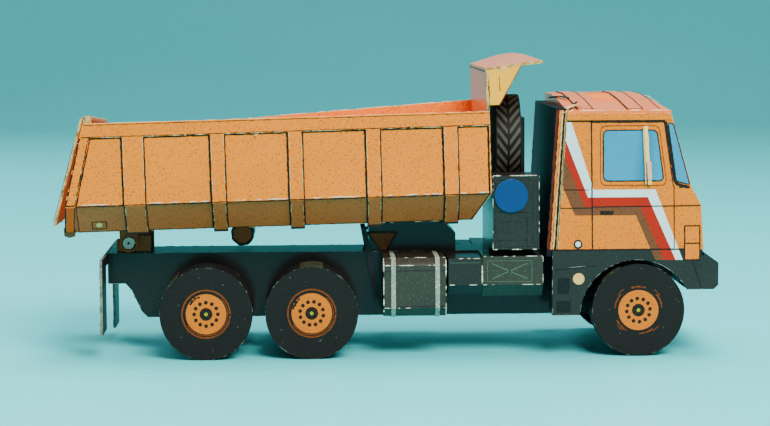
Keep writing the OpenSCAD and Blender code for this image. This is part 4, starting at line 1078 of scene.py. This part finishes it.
chamfer_len, skirt_run = math.hypot(chamfer_w, chamfer_h), 2.0
core_bed = card("core_bed", srgb(214, 192, 164), speck=srgb(112, 86, 58), amount=0.6, drift=0.3,
                rough=0.85, bump=0.9)
for side, s in (("right", -1), ("left", 1)):
    sunk, lift_f, drop = (rear_sag, front_lift, gate_sag) if s > 0 else (0.0, 0.0, 0.0)
    seed = 700 if s > 0 else 500
    wall = face(in_bed(0, s * half_width, 0), bed_u, bed_w, (0, s, 0))
    slope_up = np.array([0, s * chamfer_w, 0]) / chamfer_len + bed_w * chamfer_h / chamfer_len
    slope_out = np.array([0, s * chamfer_h, 0]) / chamfer_len - bed_w * chamfer_w / chamfer_len
    lower = face(in_bed(0, s * half_width, knee), bed_u, slope_up, slope_out)
    foot, on_strip = -chamfer_len, rib_t + 0.02
    black, pale, white = [], [], []

    def rail_line(u, below, sunk=sunk, lift_f=lift_f):
        """Height of the rail's top less below: the wall has sunk at the rear, risen in front."""
        share = (u + bed_tail) / (bed_front + bed_tail)
        return rail_top - sunk + (sunk + lift_f) * share - below

    def stroke(where, start, end, width, draw, lift=0.02, ragged=0.5, black=black, seed=seed):
        """A black printed line."""
        black.append(rule([start, end], width, where, lift, ragged=ragged, seed=seed + draw))

    def cut(where, start, end, height, radius, cover, draw, pale=pale, seed=seed):
        """Pale fibres along a cut edge."""
        pale += torn(where, [start, end], height, radius, cover=cover, seed=seed + draw)

    rear_lines = [(rear_edge_u(w, drop), w) for w in (knee, rail_top - 1.6 - sunk)]
    spans = [(rear_lines[0][0] + 1.15, rib_edges[0][0])]
    spans += [(a[1], b[0]) for a, b in zip(rib_edges[:-1], rib_edges[1:])]
    spans.append((rib_edges[-1][1], bed_front - 0.12))
    for number, (u0, u1) in enumerate(spans):
        top0, top1 = rail_line(u0, 1.67), rail_line(u1, 1.67)
        rear_slope = (rear_lines[1][0] - rear_lines[0][0]) / (rear_lines[1][1] - knee)
        lean = rear_slope * (top0 - knee) if number == 0 else 0.0
        back = skirt_run if number == len(spans) - 1 else 0.0
        stroke(wall, (u0 + lean, top0), (u1, top1), 0.15, number, ragged=0.45)
        stroke(wall, (u0, knee - 0.03), (u1, knee - 0.03), 0.15, 10 + number, 0.03, 0.45)
        stroke(wall, (u0 + 0.06, knee), (u0 + 0.06 + lean, top0), 0.09 if number else 0.16, 20 + number,
               ragged=0.6)
        stroke(wall, (u1 - 0.08, knee), (u1 - 0.08, top1), 0.2, 30 + number)
        white += torn(wall, [(u0 + 0.1, knee + 0.14), (u1 - 0.1, knee + 0.14)], 0.01, 0.07, cover=0.72,
                      seed=seed + 40 + number, reach=3)
        cut(wall, (u0 + lean, top0 + 0.13), (u1, top1 + 0.13), 0.2, 0.06, 0.75, 50 + number)
        stroke(lower, (u0, foot + 0.06), (u1 - back, foot + 0.06), 0.12, 60 + number)
        stroke(lower, (u0 + 0.05, -0.1), (u0 + 0.05, foot), 0.09, 65 + number)
        stroke(lower, (u1 - 0.06, -0.1), (u1 - 0.06 - back, foot), 0.12, 70 + number)
        cut(lower, (u0, foot), (u1 - back, foot), 0.02, 0.05, 0.5, 75 + number)
    for number, (u0, u1) in enumerate(rib_edges):
        for u, inward in ((u0, 1), (u1, -1)):
            top = rail_line(u, 1.6)
            stroke(wall, (u - inward * 0.02, knee - 0.05), (u - inward * 0.02, top), 0.14, 80 + number,
                   on_strip)
            stroke(lower, (u + inward * 0.05, 0), (u + inward * 0.05, foot - 0.1), 0.09, 85 + number,
                   on_strip)
            cut(wall, (u + inward * 0.09, knee), (u + inward * 0.09, top), rib_t, 0.06, 0.85,
                90 + 2 * number + inward)
            cut(lower, (u + inward * 0.1, 0), (u + inward * 0.1, foot), rib_t, 0.05, 0.75,
                100 + 2 * number + inward)
        stroke(wall, (u0, knee + 0.02), (u1, knee + 0.02), 0.1, 110 + number, rib_t + 0.03, 0.4)

    # Rear post: on the left it stops short, so that the gate can close.
    inset = 0.42 if s > 0 else 0.06
    post = [rear_lines[0][0] + inset, rear_lines[1][0] + inset]
    post_foot = [(post[0], 0.0), (rear_lines[0][0] + 1.1, 0.0), (rear_lines[0][0] + 0.65, foot + 0.25),
                 (post[0] - 0.45, foot + 0.25)]
    piece("rear_post_foot_" + side, [patch(post_foot, lower, rib_t + 0.015)], post_print, "bed")
    for shift, width in ((0.0, 0.16), (0.98, 0.1)):
        low_u, high_u = post[0] + shift, post[1] + shift
        stroke(wall, (low_u, knee), (high_u, rear_lines[1][1]), width, 120, on_strip)
        stroke(lower, (low_u, 0.0), (low_u - 0.45, foot), width, 121, on_strip)
        cut(wall, (low_u - 0.04, knee), (high_u - 0.04, rear_lines[1][1]), rib_t - 0.03, 0.075, 0.85, 122)
    stroke(wall, (post[0], knee + 0.1), (post[0] + 1.0, knee + 0.1), 0.13, 123, rib_t + 0.03, 0.25)

    # Rail: its lower line, and two torn layers along its top.
    u_rear = rear_edge_u(rail_top - 0.8, 0)
    stroke(wall, (u_rear, rail_line(u_rear, 1.48)), (bed_front, rail_line(bed_front, 1.48)), 0.08, 124,
           on_strip, 0.7)
    cut(wall, (u_rear + 0.3, rail_line(u_rear, 0.0)), (bed_front, rail_line(bed_front, 0.0)), 0.06, 0.085,
        0.85, 125)
    cut(wall, (u_rear + 0.3, rail_line(u_rear, 0.02)), (bed_front, rail_line(bed_front, 0.02)), -0.26,
        0.07, 0.7, 126)
    stroke(wall, (u_rear + 0.4, rail_line(u_rear, 0.14)), (bed_front, rail_line(bed_front, 0.14)), 0.06, 127,
           on_strip, 0.9)
    cut(wall, (bed_front, knee), (bed_front, rail_top), -0.05, 0.08, 0.85, 128)
    stroke(wall, (bed_front - 0.16, knee), (bed_front - 0.16, rail_top - 1.6), 0.09, 129, ragged=0.7)
    cut(lower, (bed_front, 0), (bed_front - skirt_run, foot), 0.0, 0.06, 0.8, 130)
    if s < 0:
        pale += torn(wall, [(14.85, 12.62), (15.05, 12.2), (15.25, 12.6)], rib_t, 0.11, cover=1.0, seed=661)
        lamp_at = [(-3.65, -3.9), (-2.05, -3.9), (-2.0, -2.7), (-3.6, -2.7)]
        black.append(rule(closed(lamp_at), 0.1, lower, 0.03, ragged=0.4, seed=seed + 131))
        piece("rear_lamp_dot", [patch(circle((-2.85, -3.25), 0.34, 24), lower, 0.04)], beige_print, "bed")
    piece("bed_black_lines_" + side, black, line_black, "bed")
    piece("bed_cut_edges_" + side, pale, core_bed, "bed")
    piece("bed_fold_fibres_" + side, white, frayed_fibre, "bed")
    ribs = np.array([vertex.co for vertex in frame["nodes"]["bed_ribs_" + side].data.vertices]) / MM
    rise = (ribs - pin_place) @ bed_w
    foot_y = np.abs(ribs[rise < rise.min() + 0.02, 1]).max()
    feet = face(in_bed(0, s * foot_y, rise.min()), bed_u, bed_w, (0, s, 0))
    foot_parts = [patch(rect(u0, 0, u1, 0.3), feet, 0.03) for u0, u1 in rib_edges]
    piece("rib_feet_" + side, foot_parts, line_black, "bed")

# Rear corner: a dark scrap of the chassis sheet stuck under the floor, and the buffer roll, an
# eight-sided tube whose ends show its printed outline.
scrap_at = face(in_bed(0, -(half_width - chamfer_w + 0.25), 0), bed_u, bed_w, (0, -1, 0))
olive_scrap = card("olive_scrap", srgb(74, 64, 50), speck=srgb(170, 150, 120), amount=0.45, drift=0.4,
                   rough=0.6, bump=0.8)
piece("corner_scrap", [patch([(-6.85, 2.4), (-5.5, 2.35), (-5.65, 1.45), (-6.3, 1.3), (-6.85, 1.55)],
                             scrap_at, 0.15, 0.4)],
      olive_scrap, "bed")
buffer_high = corners("bed_buffer")[1]
buffer_print = card("buffer_print", srgb(150, 92, 66), speck=srgb(70, 42, 30), amount=0.6, drift=0.3,
                    rough=0.5)
dress(buffer_print, "bed_buffer")
buffer_lines = []
for s in (-1, 1):
    end = face(in_bed(13.0, s * buffer_high[1], floor_w - 1.25), bed_u, bed_w, (0, s, 0))
    eight = circle((0, 0), 1.25, 8, math.radians(22.5))
    buffer_lines.append(rule(closed(eight), 0.3, end, ragged=0.4, seed=700 + s, step=0.3))
piece("buffer_outline", buffer_lines, line_black, "bed")

# Headboard and canopy: the canopy sheet is bent up along its far side and droops at its tip; a
# cream gusset stands under each end. Their pink is painted sheen: the light that their far and upper sides
# catch, put into their colour.
# Painted sheen: pink laid over the headboard's orange print where it catches the light.
painted_pink_sheen = card("painted_pink_sheen", srgb(228, 166, 132), speck=srgb(180, 120, 96), amount=0.35, drift=0.14,
                  rough=0.3, coat=0.3, bump=0.3)
board = face(in_bed(bed_front - 0.3, 0, 0), (0, 1, 0), bed_w, -bed_u)
canopy_foot, canopy_slope = rail_top + 4.5, math.tan(math.radians(7))
board_outline = [(-12.1, rail_top + 0.15), (12.1, rail_top + 0.6), (12.1, canopy_foot - 0.1),
                 (-12.1, canopy_foot - 0.1)]
piece("headboard_print_and_sheen", [patch(board_outline, board)], painted_pink_sheen, "bed")
board_paths = [([(-12.24, rail_top), (-12.24, canopy_foot)], 0.1),
               ([(-12.1, canopy_foot - 0.08), (12.1, canopy_foot - 0.08)], 0.12),
               ([(-11.9, knee + 0.5), (-11.9, rail_top)], 0.12)]
board_lines = [rule(path, width, board, 0.03, ragged=0.5, seed=seed)
               for seed, (path, width) in enumerate(board_paths, 710)]
piece("headboard_lines", board_lines, line_black, "bed")


def slab(top, bottom):
    """A sheet with thickness: two grids of points joined round their border."""
    rows, cols = top.shape[:2]
    points = np.concatenate([top.reshape(-1, 3), bottom.reshape(-1, 3)])
    i, j = np.meshgrid(np.arange(rows - 1), np.arange(cols - 1), indexing="ij")
    a = i * cols + j
    upper = np.stack([a, a + 1, a + cols + 1, a + cols], -1).reshape(-1, 4)
    lower = upper + rows * cols
    border = np.concatenate([np.arange(cols), cols - 1 + cols * np.arange(1, rows),
                             (rows - 1) * cols + np.arange(cols - 2, -1, -1),
                             cols * np.arange(rows - 2, 0, -1)])
    after = np.roll(border, -1)
    rim = np.stack([border, after, after + rows * cols, border + rows * cols], 1)
    return points, [tuple(f) for f in np.concatenate([upper, lower, rim]).tolist()]


def canopy_grid(height):
    """The canopy sheet: along its length it climbs at a small slope; the swell is a half sine
    that grows to the far side, and the tip falls as the square of the length."""
    share, across = np.meshgrid(np.linspace(0, 1, 28), np.linspace(0, 1, 20), indexing="ij")
    reach = share * (6.4 + 1.5 * across)
    swell = across * 0.62 * np.sin(math.pi * share ** 1.3) - 0.42 * across * share ** 3 - 0.12 * share ** 4
    u, w = bed_front - 0.3 + reach, canopy_foot + reach * canopy_slope + swell + height
    y = -half_width + 2 * half_width * across
    return pin_place + u[..., None] * bed_u + w[..., None] * bed_w + y[..., None] * np.array([0, 1, 0])


# The canopy's upward faces are pink painted sheen; its other faces are the orange print.
canopy_print_and_sheen = card("canopy_print_and_sheen", srgb(236, 150, 84), speck=srgb(150, 96, 60), amount=0.3, drift=0.14,
                    flat=(0, 0, 1), core=srgb(218, 188, 148), dirt=srgb(130, 92, 48),
                    inside=((0, 0, 1), srgb(214, 156, 134)), rough=0.32, coat=0.3, bump=0.3)
sheet = piece("canopy_sheet", [slab(canopy_grid(0.3), canopy_grid(0.0))], canopy_print_and_sheen, "bed")
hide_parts("canopy")
gusset_print = card("gusset_print", srgb(236, 186, 124), speck=srgb(244, 214, 170), amount=0.4, drift=0.16,
                    flat=(0, 1, 0), core=srgb(218, 194, 164), rough=0.5)
gussets, gusset_lines, canopy_frays = [], [], []
for s in (-1, 1):
    place = face(in_bed(0, s * half_width, 0), bed_u, bed_w, (0, s, 0))
    tip = (bed_front + 3.7, canopy_foot + 4.0 * canopy_slope)
    outline = [(bed_front, rail_top + 0.7), (bed_front + 1.1, rail_top + 0.7), tip,
               (bed_front, canopy_foot + 0.3 * canopy_slope)]
    gussets.append(patch(outline, place, 0.0, 0.3))
    gusset_lines += [rule([(bed_front + 0.03, rail_top + 0.3), (bed_front + 0.03, canopy_foot - 0.5)],
                          0.13, place,
                          ragged=0.7, seed=720 + s),
                     rule([(bed_front + 1.25, rail_top + 2.2), (bed_front + 1.2, canopy_foot - 0.7)],
                          0.09, place,
                          ragged=0.9, seed=722 + s),
                     rule([(bed_front + 1.2, rail_top + 0.75), tip], 0.08, place, ragged=0.9, seed=724 + s)]
    canopy_frays += torn(place, [outline[0], outline[3]], 0, 0.07, cover=0.8, seed=730 + s)
    canopy_frays += torn(place, [outline[1], outline[2]], -0.1, 0.05, cover=0.7, seed=732 + s)
    canopy_frays += torn(place, [(bed_front + 0.4, canopy_foot - 0.05), (bed_front + 3.6, tip[1] - 0.08)],
                         0.0, 0.09,
                         cover=0.85, seed=734 + s)
edge = canopy_grid(0.0)
for path, cover, seed in ((edge[:, 0] + (0, 0.05, 0.02), 0.8, 736), (edge[-1] + (0, 0, 0.1), 0.7, 737),
                          (edge[0] + (0, 0, 0.2), 0.7, 738)):
    canopy_frays += fray(path, 0.06, cover=cover, seed=seed)
canopy_frays += fray([in_bed(bed_front - 0.15, -half_width, w) for w in (rail_top, canopy_foot)], 0.08,
                     cover=0.85, seed=739)
edge = canopy_grid(0.3)
gusset_lines += fray(edge[:, 0] + (0, 0.03, -0.1), 0.04, cover=0.7, seed=740)
gusset_lines += fray(edge[0] + (0.1, 0, 0.0), 0.04, cover=0.6, seed=741)
piece("canopy_gussets", gussets, gusset_print, "bed")
piece("canopy_lines", gusset_lines, ring_brown, "bed")
piece("canopy_cut_edges", canopy_frays, core_bed, "bed")


# ---- Tailgate ----
# One plate of card rolled round the wire at its top. Its printed ribs and border are black lines,
# and the cut edges at its sides have gone furry.
gate_h = 12.0
gate_mesh = frame["nodes"]["tailgate"].data
gate_mesh.calc_loop_triangles()
normals = np.array([triangle.normal for triangle in gate_mesh.loop_triangles])
areas = np.array([triangle.area for triangle in gate_mesh.loop_triangles])
outer = (normals[:, 0] < -0.8) & (areas > areas.max() * 0.3)
gate_out = (normals[outer] * areas[outer, None]).sum(0)
gate_out /= np.linalg.norm(gate_out)
gate_joint = next(joint for joint in frame["joints"] if joint["name"] == "gate_swing")
gate_across = np.array(gate_joint["axis"])
gate_up = np.cross(gate_out, gate_across)
gate_up *= np.sign(gate_up[2])
first_outer = gate_mesh.loop_triangles[int(np.flatnonzero(outer)[0])]
on_plate = np.array(gate_mesh.vertices[first_outer.vertices[0]].co) / MM
hinge = np.array(gate_joint["pos_m"]) / MM
gate_origin = hinge + gate_out * float((on_plate - hinge) @ gate_out)
plate = face(gate_origin, gate_across, gate_up, gate_out)
gate_lines = [rule(closed(rect(-12.1, -0.6, 12.1, -gate_h + 0.2)), 0.14, plate, ragged=0.5, seed=800)]
for y in (-8.4, -6.8, -0.8, 0.8, 6.8, 8.4):
    gate_lines.append(rule([(y, -2.2), (y, -gate_h + 0.3)], 0.1, plate, ragged=0.5, seed=int(810 + y)))
for y in (-2.2, -gate_h + 1.6):
    gate_lines.append(rule([(-12.0, y), (12.0, y)], 0.12, plate, ragged=0.5, seed=int(820 - y)))
piece("gate_black_lines", gate_lines, line_black, "gate")
gate_frays = []
for y in (-12.28, 12.28):
    gate_frays += torn(plate, [(y, 0.2), (y, -gate_h)], -0.12, 0.09, cover=0.9, seed=int(830 + y))
gate_frays += torn(plate, [(-12.2, -gate_h - 0.1), (12.2, -gate_h - 0.1)], -0.12, 0.07, cover=0.8, seed=833)
gate_frays += torn(plate, [(-11.4, 0.25), (11.4, 0.25)], 0.0, 0.06, cover=0.6, seed=834)
piece("gate_cut_edges", gate_frays, core_bed, "gate")
tail_low_corner, tail_high_corner = corners("tail_crossmember")
tail = face((tail_low_corner[0], 0, 0), (0, 1, 0), (0, 0, 1), (-1, 0, 0))
tail_z = (tail_low_corner[2] + tail_high_corner[2]) / 2
lamps = [patch(rect(y - 1.5, tail_z - 0.4, y + 1.5, tail_z + 0.4), tail, 0.03) for y in (-9.6, 9.6)]
piece("tail_lamp_prints", lamps, red_print, "chassis")
